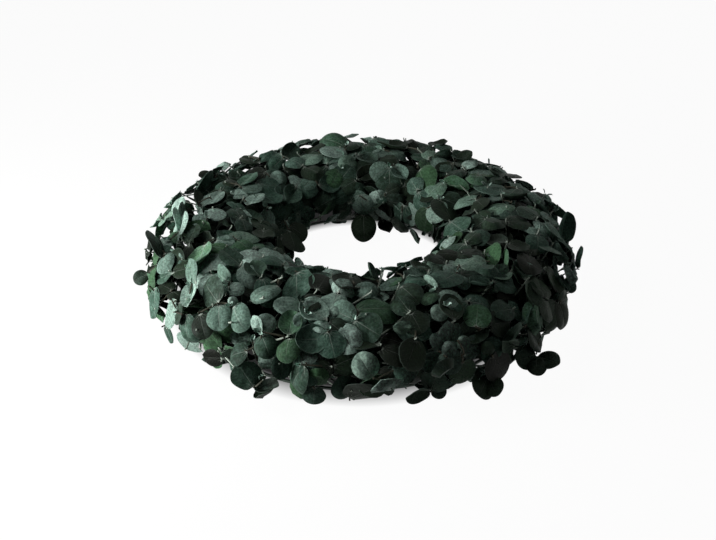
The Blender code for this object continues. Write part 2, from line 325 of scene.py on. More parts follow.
# Mild steel wire dipped in dark green lacquer: satin, a little uneven where it ran, with the odd
# worn spot that shows dull grey.
lacquerFinish = {
    "coat": "#26382c",
    "marks": (  # colour, metres across, detail, and which levels of the noise show it
        ("#3a4a3d", 0.009, 2, (0.35, 0.7, 0.0, 1.0)),
        ("#4a4b48", 0.0035, 4, (0.66, 0.70, 0.0, 0.8)),
    ),
    "gloss": (0.3, 0.7, 0.36, 0.52),
    "bump": 0.4,
    "relief": 0.00012,
}
# Florist's paddle wire: thin annealed steel with a baked green enamel, matt, paler where it was
# pulled tight round the stems.
enamelFinish = {
    "coat": "#2f4a38",
    "marks": (("#56675a", 0.004, 3, (0.45, 0.7, 0.0, 1.0)),),
    "gloss": (0.3, 0.7, 0.5, 0.65),
    "bump": 0.3,
    "relief": 0.00006,
}


def coatedWireMaterial(name, look):
    made, tree, shader, at = newMaterial(name, {"IOR": 1.5})
    colour = linear(look["coat"])
    noises = []
    for code, across, detail, levels in look["marks"]:
        noise = addNode(tree, "TexNoise", {"Vector": at, "Scale": 1 / across, "Detail": detail})
        share = addNode(tree, "MapRange", [noise, *levels])
        colour = addNode(tree, "Mix", {0: share, 6: colour, 7: linear(code)}, data_type="RGBA")
        noises.append(noise)
    gloss = addNode(tree, "MapRange", [noises[0], *look["gloss"]])
    bump = addNode(tree, "Bump", {
        "Height": noises[-1], "Strength": look["bump"], "Distance": look["relief"]})
    setInputs(shader, {"Base Color": colour, "Roughness": gloss, "Normal": bump})
    return made


leafStuff, barkStuff = leafMaterial(), barkMaterial()
lacquerStuff = coatedWireMaterial("greenLacqueredSteelWire", lacquerFinish)
enamelStuff = coatedWireMaterial("greenEnamelledPaddleWire", enamelFinish)
print("materials made")

frameLook = {
    "ringSteps": 120,
    "wireSides": 10,
    "seamAngle": 2.2,  # radians round the ring, of the middle one
    "seamSpread": 20,  # and how much further for each metre outwards
    "seamHalf": 0.03,
    "seamSwell": 1.10,
    "braces": 6,
    "braceRadius": 0.0012,
    "weldGap": 0.0003,
    "bendRadius": 0.003,
    "bendSteps": 4,
    "bendShare": 0.45,
    "weldBead": (0.0017, 0.0017, 0.0011),
}


def frameRing(name, node, offset, height):
    look = frameLook
    selectOnly()
    bpy.ops.mesh.primitive_torus_add(
        location=(0, 0, height), major_radius=wreath["radius"] + offset,
        minor_radius=wreath["frameWire"], major_segments=look["ringSteps"],
        minor_segments=look["wireSides"])
    ring = bpy.context.object
    # the butt weld that closes the ring, ground almost flat
    seam = look["seamAngle"] + offset * look["seamSpread"]
    pickPoints(ring, lambda co: (
        abs(math.atan2(co.y, co.x) - seam) < look["seamHalf"] and co.z > height))
    bpy.ops.transform.resize(value=(1, 1, look["seamSwell"]), center_override=(0, 0, height))
    finishMesh(ring, name, smoothAngle=60)
    ring.data.materials.append(lacquerStuff)
    standFor(ring, "frame_wire", node)


def rounded(points, reach):
    # the corners of a bent wire, each drawn as a short curve that uses less than half of each leg
    steps, most = frameLook["bendSteps"], frameLook["bendShare"]
    made = [points[0]]
    for before, corner, after in zip(points, points[1:], points[2:]):
        legs = (before - corner, after - corner)
        start, end = (corner + leg.normalized() * min(reach, leg.length * most) for leg in legs)
        for share in (i / steps for i in range(steps + 1)):
            made.append(start.lerp(corner, share).lerp(corner.lerp(end, share), share))
    return made + [points[-1]]


def frameBrace(number):
    look = frameLook
    wire, foot, raised = wreath["frameWire"], wreath["footOffset"], wreath["raisedOffset"]
    start = wrapLook["start"] * bunchStep / wrapLook["turns"]
    angle = 2 * math.pi * number / look["braces"] + start
    touch = wire + look["braceRadius"] + look["weldGap"]
    half = [(foot + wire, footHeight + touch), (foot - wire, footHeight + touch),
            (raised + 2 * wire, raisedHeight - touch)]
    profile = half + [(-offset, height) for offset, height in reversed(half)]
    corners = [ringPoint(angle, offset, height) for offset, height in profile]
    name = f"wireFrameBrace{number + 1}"
    route = [(place, look["braceRadius"]) for place in rounded(corners, look["bendRadius"])]
    pieces = [wireThrough(name, route, 3)]
    # a weld bead where it crosses each ring
    for offset, level in ((foot, footHeight + touch / 2), (raised, raisedHeight - touch / 2)):
        for side in (1, -1):
            selectOnly()
            bpy.ops.mesh.primitive_ico_sphere_add(
                subdivisions=2, radius=1, location=ringPoint(angle, side * offset, level))
            bead = bpy.context.object
            bead.scale = look["weldBead"]
            bead.rotation_euler.z = angle
            pieces.append(bead)
    selectOnly(*pieces)
    bpy.ops.object.join()
    brace = pieces[0]
    finishMesh(brace, name, smoothAngle=60)
    brace.data.materials.append(lacquerStuff)
    standFor(brace, "frame_wire", f"frame_brace_{number + 1}")


wrapLook = {
    "radius": 0.0004,
    "turns": 2,  # round each bunch
    "start": 0.35,
    "gap": 0.0009,
    "corner": 0.0012,
    "bendRadius": 0.0008,
    "parts": (0.06, 0.14, 0.24, 0.32),  # of a turn, from its middle: over, beside, below, under
}


def climbed(turned):
    return stemHeight + wreath["stemClimb"] * turned / sprigSweep


def bindingWire():
    look = wrapLook
    step = bunchStep / look["turns"]
    over = wreath["stemRadius"] + look["radius"] + wreath["clearance"]
    below = raisedHeight - stemHeight
    under = below - wreath["frameWire"] - look["radius"] - look["gap"]
    ring, corner = wreath["raisedOffset"], look["corner"]
    outerStem = ring + wreath["stemSide"]
    outerSide, innerSide = outerStem + over + corner / 2, -ring - over - corner / 2
    # one turn: up inside the rings, across the stems, and down outside the rings
    inside = ((-ring - corner, over), (innerSide, 0), (innerSide, below), (-ring - corner, under))
    outside = ((outerStem + corner, over), (outerSide, 0), (outerSide - corner, below),
               (ring + corner, under))
    turn = [(-part, *place) for part, place in zip(look["parts"], inside)][::-1]
    turn += [(part, *place) for part, place in zip(look["parts"], outside)]
    route = []
    for crossing in range(wreath["bunches"] * look["turns"]):
        turned = step * (look["start"] + crossing % look["turns"])
        for part, offset, height in turn:
            atStems = abs(part) <= look["parts"][1]
            level = climbed(max(0.0, turned + step * part)) if atStems else stemHeight
            place = ringPoint(step * (look["start"] + crossing + part), offset, level + height)
            route.append(place)
    wire = wireThrough("paddleWireWrap", [(place, look["radius"]) for place in
                                          rounded(route, look["bendRadius"])])
    wire.data.materials.append(enamelStuff)
    standFor(wire, "paddle_wire", "binding_wire")


for ringName, ringNode, ringOffset, ringLevel in (
    ("wireFrameInnerFootRing", "frame_ring_inner_foot", -wreath["footOffset"], wreath["frameWire"]),
    ("wireFrameInnerRaisedRing", "frame_ring_inner_raised", -wreath["raisedOffset"], raisedHeight),
    ("wireFrameOuterRaisedRing", "frame_ring_outer_raised", wreath["raisedOffset"], raisedHeight),
    ("wireFrameOuterFootRing", "frame_ring_outer_foot", wreath["footOffset"], wreath["frameWire"]),
):
    frameRing(ringName, ringNode, ringOffset, ringLevel)
for braceNumber in range(frameLook["braces"]):
    frameBrace(braceNumber)
bindingWire()
print("wire frame and binding wire made")

# Each kind of leaf, one metre long with its base at the origin: how wide it is, how deep its base
# is notched, how its rim rises from its middle, how deep its midrib is folded, how its tip curls,
# how wide its shoulders are, how its tip is drawn out, and the size of the waves in its blade.
kindValues = ("wide", "notch", "cup", "fold", "curl", "heart", "point", "wave")
kindRows = (
    (0.98, 0.035, -0.09, 0.04, -0.03, 1.0, 0.0, 0.55),
    (0.9, 0.03, -0.13, 0.03, -0.06, 1.05, -0.01, 0.62),
    (1.04, 0.05, -0.06, 0.05, -0.1, 1.1, 0.0, 0.48),
    (0.8, 0, -0.08, 0.07, 0.06, 1.0, 0.02, 0.7),
    (0.96, 0.04, -0.15, 0.02, -0.09, 1.05, 0.0, 0.58),
    (1.06, 0.055, -0.04, -0.02, 0.03, 1.12, -0.01, 0.4),
    (0.74, -0.02, 0.09, 0.14, -0.03, 0.95, 0.02, 0.75),
    (0.88, 0.02, -0.1, 0.06, -0.14, 1.05, 0.0, 0.44),
    (0.92, 0.045, -0.18, 0.0, -0.16, 1.08, 0.0, 0.66),
    (0.86, 0.01, 0.08, 0.03, 0.1, 1.0, 0.01, 0.52),
)
leafLook = {
    "rimPoints": 16,
    "thickness": 0.016,
    "inset": 0.17,
    "waveHeight": 0.16,
    "uneven": 0.028,  # how far a rim point strays
    "rimFrom": 0.47,  # from the blade's middle, what counts as its rim
    "rimReach": 0.48,
    "ribHalf": 0.02,
    "notchHalf": 0.06,
    "notchTo": 0.10,  # along the blade, how far from its base the rim moves for the notch
    "shoulderTo": 0.12,
    "shoulders": 0.05,
    "tipFrom": 0.85,
    "smoothAngle": 60,
    "curlSteps": ((0.60, 0.30), (0.80, 0.35), (0.90, 0.35)),  # from where, and its share
}


def modelLeaf(number, shape, fine=False):
    look = leafLook
    wide, half, rib = shape["wide"], look["notchHalf"], look["ribHalf"]

    def fromMiddle(co):
        return math.hypot(co.x - 0.5, co.y / wide)

    def onRim(co):
        return fromMiddle(co) > look["rimFrom"]

    def shift(test, along, up):
        pickPoints(leaf, test)
        bpy.ops.transform.translate(value=(along, 0, up))

    selectOnly()
    bpy.ops.mesh.primitive_circle_add(
        vertices=look["rimPoints"], radius=0.5, fill_type="NGON", location=(0, 0, 0))
    leaf = bpy.context.object
    bpy.ops.object.mode_set(mode="EDIT")
    bpy.ops.mesh.select_all(action="SELECT")
    bpy.ops.transform.rotate(value=math.pi / 2, orient_axis="Z", center_override=(0, 0, 0))
    bpy.ops.transform.vertex_random(offset=look["uneven"], seed=number)
    bpy.ops.transform.resize(value=(1, 1, 0), center_override=(0, 0, 0))
    bpy.ops.mesh.inset(thickness=look["inset"])
    bpy.ops.mesh.poke()
    bpy.ops.mesh.select_all(action="SELECT")
    bpy.ops.transform.translate(value=(0.5, 0, 0))
    bpy.ops.transform.resize(value=(1, wide, 1), center_override=(0.5, 0, 0))
    # the base is notched where it clasps the stem, with a shoulder on each side of the notch
    shift(lambda co: onRim(co) and abs(co.y) < half and co.x < look["notchTo"], shape["notch"], 0)
    shift(lambda co: onRim(co) and abs(co.y) >= half and co.x < look["shoulderTo"],
          -shape["notch"], 0)
    bpy.ops.transform.resize(
        value=(1, shape["heart"], 1), center_override=(look["shoulders"], 0, 0))
    # domed or cupped blade, folded midrib, and curled and drawn out tip
    shift(onRim, 0, shape["cup"])
    shift(lambda co: abs(co.y) < rib, 0, -shape["fold"])
    for start, share in look["curlSteps"]:
        shift(lambda co: onRim(co) and co.x > start, 0, shape["curl"] * share)
    shift(lambda co: onRim(co) and co.x > look["tipFrom"] and abs(co.y) < rib, shape["point"], 0)
    # broad waves in the blade
    clouds = bpy.data.textures.new("bladeWaves", "CLOUDS")
    clouds.noise_scale = shape["wave"]
    clouds.noise_depth = 1
    wave = leaf.modifiers.new("waves", "DISPLACE")
    wave.texture = clouds
    wave.texture_coords = "LOCAL"
    wave.direction = "Z"
    wave.strength = look["waveHeight"]
    wave.mid_level = 0.5
    selectOnly(leaf)
    bpy.ops.object.modifier_apply(modifier="waves")
    if fine:
        leaf.modifiers.new("rounder", "SUBSURF").levels = 1
        bpy.ops.object.modifier_apply(modifier="rounder")
    # the blade's own map, and how near each point is to the rim
    blade = leaf.data.uv_layers.new(name="bladeMap")
    for loop in leaf.data.loops:
        co = leaf.data.vertices[loop.vertex_index].co
        blade.data[loop.index].uv = (co.x, co.y / wide + 0.5)
    paintPoints(leaf.data, "rimShare",
                [min(1.0, fromMiddle(v.co) / look["rimReach"]) for v in leaf.data.vertices])
    skin = leaf.modifiers.new("thickness", "SOLIDIFY")
    skin.thickness = look["thickness"]
    skin.offset = 0
    bpy.ops.object.modifier_apply(modifier="thickness")
    bpy.ops.object.shade_smooth_by_angle(angle=math.radians(look["smoothAngle"]))
    mesh = leaf.data
    mesh.materials.append(leafStuff)
    bpy.data.objects.remove(leaf)
    return mesh


leafShapes = [dict(zip(kindValues, row)) for row in kindRows]
leafKinds = [modelLeaf(number, shape) for number, shape in enumerate(leafShapes)]
fineKinds = [modelLeaf(number, shape, True) for number, shape in enumerate(leafShapes)]
leafPoints = [np.array([point.co for point in kind.vertices]) for kind in leafKinds]
print("leaf kinds modelled:", len(leafKinds), "of", len(leafKinds[0].polygons), "faces")

# Each lane of a bunch: where its sprig starts beside the centre line, the angle round the
# foliage's section that its tip reaches, in degrees from straight outwards, and its side twigs:
# where each leaves the stem, how many degrees of the ring it covers, and the angle it reaches.
lanes = {
    "Outer": {
        "beside": wreath["raisedOffset"] + wreath["stemSide"], "tip": 6,
        "twigs": [
            (0.36, 24, -34), (0.56, 26, 40), (0.33, 18, -50), (0.56, 18, -50), (0.68, 18, -34),
            (0.30, 18, -10), (0.455, 18, -8), (0.61, 18, -12), (0.38, 18, 20), (0.53, 18, 22),
            (0.40, 17, 42), (0.55, 17, 46),
        ],
    },
    "Top": {
        "beside": wreath["raisedOffset"] - wreath["stemSide"], "tip": 90,
        "twigs": [
            (0.38, 24, 112), (0.58, 25, 66), (0.53, 18, 66), (0.38, 18, 68), (0.58, 18, 90),
            (0.42, 18, 92), (0.62, 18, 112), (0.32, 18, 114),
        ],
    },
    "Inner": {
        "beside": -wreath["raisedOffset"], "tip": 174,
        "twigs": [
            (0.36, 24, 212), (0.52, 24, 141), (0.38, 18, 141), (0.50, 18, 176), (0.67, 18, 205),
            (0.41, 18, 232),
        ],
    },
}
# how far the stems and twigs stray from the plan, in degrees (start and tip) or as a share
stray = {"start": 0.8, "sweep": 0.05, "twigSweep": 0.10, "reach": 0.06, "tip": 6, "step": 0.15}
sprigLook = {
    "twigRadius": 0.0010,
    "tipRadius": 0.0007,
    "stemPoints": 16,
    "twigPoints": 8,
    "stemAge": 1.0,
    "twigAge": 0.45,
    "youngFrom": 0.12,  # metres from a shoot's root, where its bark is young
    "budReach": 0.0045,  # how far a shoot goes on past its last full pair to its new leaves
    "stubReach": 0.0019,  # or to its closed bud
    "budSwell": ((0.45, 0.9), (0.8, 1.15), (1.0, 0.6)),  # along that, how thick it is
    "budRoot": 0.9,
    "budShare": 0.12,  # of the shoots, that end in a pair of small new leaves
    "pairStep": 0.0115,  # between the leaf pairs on a shoot
    "pairs": 2,
    # along a main stem, deep in the foliage
    "innerPairs": (0.28, 0.33, 0.38, 0.43, 0.48, 0.53, 0.58, 0.63, 0.68, 0.73, 0.78, 0.83),
    "frontLeaf": (0.0230, 0.0330),
    "backLeaf": (0.020, 0.029),
    "deepLeaf": (0.022, 0.030),
    "budLeaf": (0.005, 0.009),
    "leafWidth": (0.94, 1.06),
    "shrink": 0.15,  # how much shorter the last tries' leaves are
    "clasp": 0.0008,  # from the shoot's middle to the blade
    "aheadStep": 0.02,  # of a shoot, each way from a pair, to find which way it runs
    "faceAhead": 0.30,  # how far a pair turns from facing outwards towards the shoot's tip
    "tilt": 0.52,  # radians, the usual most that a pair leans any other way
    "twist": 0.9,
    "roll": 0.3,
    "rise": (-0.35, 0.40),  # how steeply a leaf stands up from its pair's plane
    "budRise": (0.5, 1.0),
    "freedom": 0.6,  # of the first try, in shares of these angles
    "deepFreedom": 1.3,
    "moreFreedom": 0.8,  # that the last try has
    "tries": 44,
    "budTries": 11,
    "floorGap": 0.0008,
    "touchGap": 0.0014,
    "nearby": 0.055,  # metres between the middles of leaves that can meet
    "nearlyParallel": 0.12,  # sine of the angle between two faces
    "discShare": 0.95,  # of a leaf's half length, that others keep clear of
    "openCost": 0.02,  # of a leaf in a line of sight that stays free, growing with its depth
    "openSteepness": 12,
    "tableCost": 60,
    "pastCost": 0.25,
    "tryCost": 0.0001,
    "worst": 0.09,  # a pair that costs more is left out
    "worstBehind": 0.05,
    "room": 1.03,  # of the section, for the front pairs
    "deepReach": 0.76,  # and for the pairs behind a shoot's last one
    "looseRoom": 0.10,
    "strays": 0.08,  # share of the pairs that stand proud of the rest
    "proud": (0.0, 0.04),
    "strayProud": (0.06, 0.16),
    "holeFrom": 120,  # past this angle of the section nothing stands proud
    "looseArc": (166, 216),  # degrees of the ring where the outer sprigs sit more loosely
    "looseBelow": 100,  # a shoot counts as outer with its tip below this angle of the section
    "looseFace": 0.45,  # of the angle that the leaves of other sprigs face
    "looseKinds": (3, 6, 7),
    "looseShade": 0.10,  # how much darker they are: painted shade, so the gaps behind the pale leaves set in front read dark
    "budKinds": (0, 1, 3, 6),
    "sprigTones": {  # of each sprig's leaves, from dark to pale, round the ring: partly the leaves' own tones, partly painted light and painted shade where parts look lighter or darker
        "Outer": (0.52, 0.49, 0.82, 0.82, 0.55, 0.25, 0.57, 0.18, 0.68, 0.40, 0.65, 0.82),
        "Top": (0.36, 0.48, 0.70, 0.23, 0.46, 0.40, 0.82, 0.62, 0.63, 0.41, 0.52, 0.14),
        "Inner": (0.12, 0.12, 0.18, 0.29, 0.45, 0.14, 0.59, 0.82, 0.82, 0.82, 0.54, 0.44),
    },
    "shootTone": 0.48,
    "leafTone": 0.28,
    "palest": 1.0,
    "ageTone": {-1: 0.35, 0: 0.0, 1: -0.36, 2: -0.58, 3: -0.66},  # new bud leaves are paler; pairs further back on a shoot are darker, painted shade deep in the foliage
    "green": 0.62,  # how green the freshest shoots are
    "greenShare": 0.14,
    "greenFade": (0.6, 1.0),
    "anyGreen": (0.0, 0.12),
}
# how full the foliage is all round the ring, from +X anticlockwise, and on its inner side
fullness = (1.03, 1.04, 1.02, 0.99, 0.99, 0.97, 1.01, 1.00, 0.93, 0.92, 0.92, 0.91,
            0.93, 0.96, 0.97, 0.93, 0.97, 0.98, 0.99, 1.00, 1.06, 1.08, 1.05, 1.02)
innerFullness = (0.95, 0.98, 0.98, 1.00, 1.06, 0.99, 0.96, 0.96)
# how far its section reaches from the middle of the ring, and the height that nothing passes
section = {"out": 0.0672, "in": 0.0700, "up": 0.0405, "down": 0.0395, "top": 0.0900}

# Pairs and single leaves at set places. Each row is a node on a little shoot, in millimetres, and
# its leaves: where the tip of each is, which way it faces, in tenths, its kind, and how pale and
# how green it is, per cent. How pale is partly the leaf's own tone and partly painted light and
# painted shade: leaves that should look lit are paler, and some dark ones stand where there is only
# shade.
setLeaves = (
    ((205, -21, 53), (211, -4, 79, 5, -8, 4, 6, 60, 0)),
    ((214, -50, 41), (218, -38, 60, 9, -3, 0, 6, 68, 0)),
    ((-200, -68, 47), (-214, -72, 42, 0, -8, 7, 0, 23, 0), (-187, -62, 50, 2, -7, 7, 1, 0, 0)),
    ((-178, -116, 22), (-170, -124, 8, -7, -7, 1, 3, 51, 0)),
    ((6, 86, 24), (7, 59, 5, 0, -6, 8, 7, 0, 0)),
    ((16, -118, 74), (9, -107, 86, 8, -1, 5, 6, 36, 0)),
    ((-134, -148, 34), (-121, -161, 10, -6, -8, 1, 3, 0, 80),
     (-142, -133, 54, -7, -7, 3, 4, 70, 80)),
    ((-14, 149, 82), (-44, 162, 89, 1, -4, 9, 0, 58, 30), (7, 141, 73, 2, -4, 9, 1, 100, 30)),
    ((-129, 128, 70), (-110, 123, 80, -3, 4, 8, 3, 70, 0), (-145, 131, 58, -5, 5, 7, 4, 70, 0)),
    ((-86, 124, 78), (-71, 146, 85, 5, -5, 7, 6, 35, 0), (-99, 111, 70, 3, -7, 6, 1, 64, 0)),
    ((112, 121, 76), (130, 135, 83, -2, -2, 10, 3, 11, 0), (98, 110, 67, -3, -3, 9, 4, 40, 0)),
    ((-90, -160, 40), (-109, -157, 44, -2, -4, 9, 3, 100, 20),
     (-71, -164, 38, -2, -3, 9, 4, 70, 10)),
    ((-139, -143, 40), (-151, -127, 43, -3, -3, 9, 1, 40, 10),
     (-125, -157, 39, -2, -4, 9, 3, 0, 30)),
    ((-66, -179, 34), (-84, -174, 37, -2, -4, 9, 4, 92, 10),
     (-48, -183, 33, -1, -4, 9, 0, 30, 20)),
    ((-178, -51, 75), (-172, -15, 89, -8, -1, 6, 3, 92, 0),
     (-191, -54, 66, -3, -7, 7, 0, 100, 0)),
    ((-181, -68, 72), (-178, -92, 67, -5, -2, 8, 1, 73, 0)),
    ((-145, -121, 73), (-153, -96, 80, -8, -4, 4, 3, 72, 0),
     (-147, -142, 63, -5, -4, 8, 6, 91, 0)),
    ((-189, -99, 54), (-183, -123, 36, -8, -5, 4, 3, 60, 0)),
    ((-141, -70, 82), (-145, -105, 76, -5, -1, 8, 9, 84, 90),
     (-117, -81, 82, 0, 0, 10, 1, 44, 90)),
    ((-117, -57, 81), (-98, -34, 73, 2, 2, 10, 0, 97, 55), (-99, -75, 79, 1, 0, 10, 4, 64, 70)),
    ((-147, -23, 83), (-160, -32, 83, 3, -4, 8, 0, 100, 0), (-135, -5, 82, 1, 0, 10, 5, 100, 0)),
    ((-161, 9, 82), (-141, 34, 83, -2, 1, 10, 3, 88, 0), (-166, 29, 89, 8, 0, 7, 6, 0, 0)),
    ((-154, 81, 79), (-174, 66, 76, -2, 1, 10, 3, 65, 0), (-169, 45, 71, 9, -3, -2, 0, 48, 0)),
    ((-129, 51, 82), (-113, 78, 83, -3, 1, 9, 3, 59, 10), (-144, 65, 82, 1, 1, 10, 1, 0, 0)),
    ((-123, 44, 81), (-103, 55, 78, 1, 0, 10, 5, 75, 0)),
    ((-115, 19, 78), (-101, 41, 77, -1, 1, 10, 3, 93, 0)),
    ((-170, -24, 79), (-175, 8, 90, 10, 1, 2, 3, 100, 0)),
    ((-181, -73, 69), (-193, -41, 79, 9, 2, 5, 0, 23, 0)),
    ((-168, -35, 79), (-175, 1, 93, 9, 1, 3, 0, 96, 0)),
    ((-186, 4, 74), (-184, 26, 80, -5, -1, 8, 3, 100, 0)),
    ((-163, -128, 61), (-169, -135, 34, -8, -5, 3, 3, 83, 0)),
    ((-158, -131, 61), (-155, -149, 49, -8, -4, 4, 3, 29, 0)),
    ((-117, -151, 73), (-132, -127, 78, -7, -5, 4, 5, 34, 0),
     (-115, -172, 62, -2, -5, 9, 0, 70, 0)),
    ((-106, -155, 74), (-94, -178, 67, -6, -5, 6, 1, 70, 0),
     (-103, -147, 78, 4, -4, 8, 4, 100, 0)),
    ((-111, -128, 79), (-127, -111, 80, -7, -7, 1, 0, 71, 0),
     (-100, -142, 78, -1, -2, 10, 1, 94, 0)),
    ((-68, -134, 82), (-90, -150, 79, -2, 0, 10, 1, 73, 0)),
    ((-54, -114, 80), (-51, -146, 73, -5, -2, 8, 5, 56, 0)),
    ((-79, -184, 69), (-69, -171, 76, 3, -6, 7, 0, 100, 0), (-87, -171, 74, -7, -6, 4, 3, 92, 0)),
    ((-78, -185, 67), (-70, -200, 56, 0, -6, 8, 4, 41, 0)),
    ((-42, -173, 79), (-33, -155, 83, 2, -3, 10, 3, 100, 0),
     (-51, -183, 75, 3, -6, 7, 3, 100, 0)),
    ((-45, -208, 55), (-40, -189, 67, 0, -6, 8, 5, 100, 0), (-55, -207, 27, -8, -5, 3, 1, 39, 0)),
    ((-41, -207, 56), (-32, -214, 38, 2, -9, 4, 0, 63, 0)),
    ((-24, -189, 74), (-35, -179, 77, 1, -2, 10, 0, 96, 0), (-18, -207, 61, 0, -6, 8, 5, 59, 0)),
    ((-3, -179, 77), (-24, -167, 80, -3, -7, 7, 0, 72, 0), (18, -192, 71, -2, -7, 7, 5, 38, 0)),
    ((-2, -167, 80), (34, -161, 77, 1, 0, 10, 7, 40, 45)),
    ((-90, -191, 55), (-107, -186, 45, -5, -4, 7, 0, 37, 0)),
    ((-86, -195, 19), (-98, -191, 41, 1, -10, 3, 5, 50, 0), (-65, -199, 25, -3, 0, 10, 6, 22, 0)),
    ((-59, -199, 60), (-61, -207, 38, 5, -8, 3, 3, 46, 0)),
    ((-150, -146, 58), (-146, -155, 31, -6, -8, 2, 1, 51, 0)),
    ((-134, -152, 64), (-128, -170, 51, -3, -6, 7, 0, 9, 0)),
    ((12, -218, 50), (0, -211, 68, 1, -9, 4, 0, 100, 35)),
    ((-3, -136, 82), (16, -146, 82, -1, -2, 10, 1, 75, 0)),
    ((34, -113, 78), (22, -135, 76, -4, 1, 9, 3, 52, 60)),
    ((73, -83, 75), (70, -101, 71, 0, -2, 10, 2, 100, 50)),
    ((66, -143, 82), (54, -128, 82, -8, -6, 0, 0, 82, 20), (53, -158, 81, -2, 1, 10, 1, 28, 20)),
    ((86, -118, 82), (71, -134, 82, -1, 1, 10, 0, 85, 0), (92, -136, 81, 2, 0, 10, 4, 100, 0)),
    ((72, -163, 79), (82, -145, 81, 2, -2, 10, 5, 100, 25), (62, -175, 76, 3, -4, 9, 0, 100, 25)),
    ((96, -177, 68), (100, -156, 76, -1, -4, 9, 5, 51, 70)),
    ((80, -189, 64), (91, -189, 59, 2, -8, 5, 0, 100, 25)),
    ((89, -108, 82), (111, -91, 82, -1, 1, 10, 5, 87, 35)),
    ((46, -187, 72), (28, -188, 77, 0, -10, -1, 3, 100, 50)),
    ((64, -198, 60), (64, -185, 69, 6, -4, 7, 0, 82, 0)),
    ((70, -200, 56), (78, -190, 63, 4, -7, 6, 4, 100, 0)),
    ((154, -159, 25), (170, -175, 28, -4, -2, 9, 3, 24, 0), (135, -167, 24, 3, -7, 6, 5, 26, 0),
     (151, -179, 21, -2, -1, 10, 1, 12, 0)),
    ((109, -183, 21), (99, -203, 17, 6, -4, 7, 5, 7, 0), (114, -201, 17, -4, -3, 9, 0, 6, 0)),
    ((84, -197, 49), (87, -196, 25, 4, -9, 0, 5, 12, 20)),
    ((110, -186, 46), (123, -184, 22, 6, -8, 3, 5, 0, 0), (103, -184, 57, 1, -10, 2, 1, 13, 0)),
    ((60, -199, 19), (64, -202, 42, -3, -9, 0, 5, 36, 0), (39, -207, 18, 4, -9, -1, 6, 7, 0),
     (74, -197, 18, 2, -7, 7, 0, 30, 0)),
    ((-7, -207, 18), (-14, -209, 40, 3, -9, 0, 0, 50, 0), (14, -215, 39, 0, -9, -4, 5, 0, 0)),
    ((28, -210, 51), (32, -211, 36, 1, -10, 1, 0, 8, 0), (16, -211, 42, -3, -8, 5, 1, 2, 0)),
    ((-35, -212, 35), (-36, -212, 16, 0, -10, 0, 5, 43, 0)),
    ((181, -115, 49), (189, -124, 25, 7, -6, 4, 0, 0, 0), (166, -138, 34, 6, -7, 5, 1, 6, 0)),
    ((148, -151, 53), (160, -154, 25, 8, -4, 4, 3, 11, 0)),
    ((200, -74, 49), (199, -88, 39, 3, -6, 8, 3, 45, 0)),
    ((128, -82, 82), (130, -109, 77, -10, -1, 3, 3, 37, 60)),
    ((118, -99, 81), (119, -71, 89, -8, -1, 6, 0, 0, 70)),
    ((93, 67, 77), (71, 55, 65, -4, -2, 9, 0, 79, 50), (119, 56, 81, -3, -8, -4, 5, 56, 60)),
    ((127, 25, 81), (98, 34, 71, -3, 1, 10, 7, 80, 25)),
    ((156, 10, 82), (131, -5, 81, -1, 1, 10, 0, 92, 60)),
    ((88, 40, 69), (76, 24, 51, -5, -4, 7, 0, 97, 25), (96, 7, 61, 5, -1, 9, 5, 0, 0)),
    ((156, 101, 74), (125, 80, 81, 1, 1, 10, 0, 100, 10)),
    ((156, 48, 80), (122, 42, 82, 0, 1, 10, 5, 69, 0)),
    ((-45, 133, 81), (-65, 110, 80, -1, 0, 10, 0, 87, 45), (-28, 116, 78, 1, -1, 10, 1, 86, 35)),
    ((-14, 138, 82), (-44, 130, 84, 1, 0, 10, 5, 94, 0)),
    ((-20, 106, 74), (-1, 121, 78, 3, -6, 7, 0, 89, 50), (-30, 83, 63, 3, -5, 8, 1, 21, 60)),
    ((39, 131, 81), (14, 125, 81, 1, -2, 10, 0, 81, 10)),
    ((35, 105, 76), (15, 93, 68, 2, -8, 6, 5, 77, 10), (35, 76, 59, -1, -5, 9, 0, 37, 0)),
    ((67, 98, 78), (75, 64, 68, -7, -4, 6, 0, 0, 55)),
    ((30, 77, 57), (45, 76, 66, -3, -9, 4, 1, 12, 0), (21, 75, 46, -2, -9, 3, 0, 47, 0)),
    ((75, 41, 59), (71, 33, 34, -4, -9, 3, 5, 2, 25)),
    ((87, 137, 81), (60, 165, 78, -1, 0, 10, 3, 29, 0)),
    ((87, 123, 81), (61, 131, 78, -1, 0, 10, 3, 45, 0), (109, 126, 80, 1, -9, -3, 0, 39, 0)),
    ((58, 144, 82), (24, 163, 81, 1, 2, 10, 6, 0, 0)),
    ((101, 107, 81), (79, 114, 79, -2, -1, 10, 0, 75, 0)),
    ((107, 101, 81), (94, 85, 79, 1, -2, 10, 0, 69, 10)),
    ((2, 80, 53), (10, 81, 25, -2, -10, -1, 0, 80, 0)),
    ((49, 63, 49), (50, 69, 16, -6, -8, -2, 4, 47, 0)),
    ((-49, 88, 71), (-60, 73, 67, 1, -3, 9, 0, 70, 0)),
    ((-97, 76, 79), (-79, 70, 75, -2, -8, 5, 4, 75, 0)),
    ((-74, 27, 40), (-64, -4, 32, 6, 0, 8, 5, 0, 0)),
    ((-112, 114, 81), (-135, 130, 77, -1, 1, 10, 3, 0, 0)),
    ((-155, 75, 79), (-175, 86, 72, -3, -8, -5, 3, 0, 0)),
    ((194, 71, 65), (197, 53, 62, 1, -1, 10, 3, 0, 0)),
    ((-143, 80, 75), (-123, 77, 76, -2, -9, 4, 0, 33, 0), (-160, 69, 73, 3, -6, 8, 5, 29, 0)),
    ((-167, -109, 57), (-153, -123, 57, 1, 1, 10, 0, 0, 0), (-180, -98, 56, -1, -1, 10, 5, 0, 0)),
    ((-84, -7, 36), (-66, 1, 26, 2, -5, 8, 5, 0, 0)),
    ((-73, 35, 40), (-55, 33, 26, 3, -5, 8, 5, 0, 0)),
)
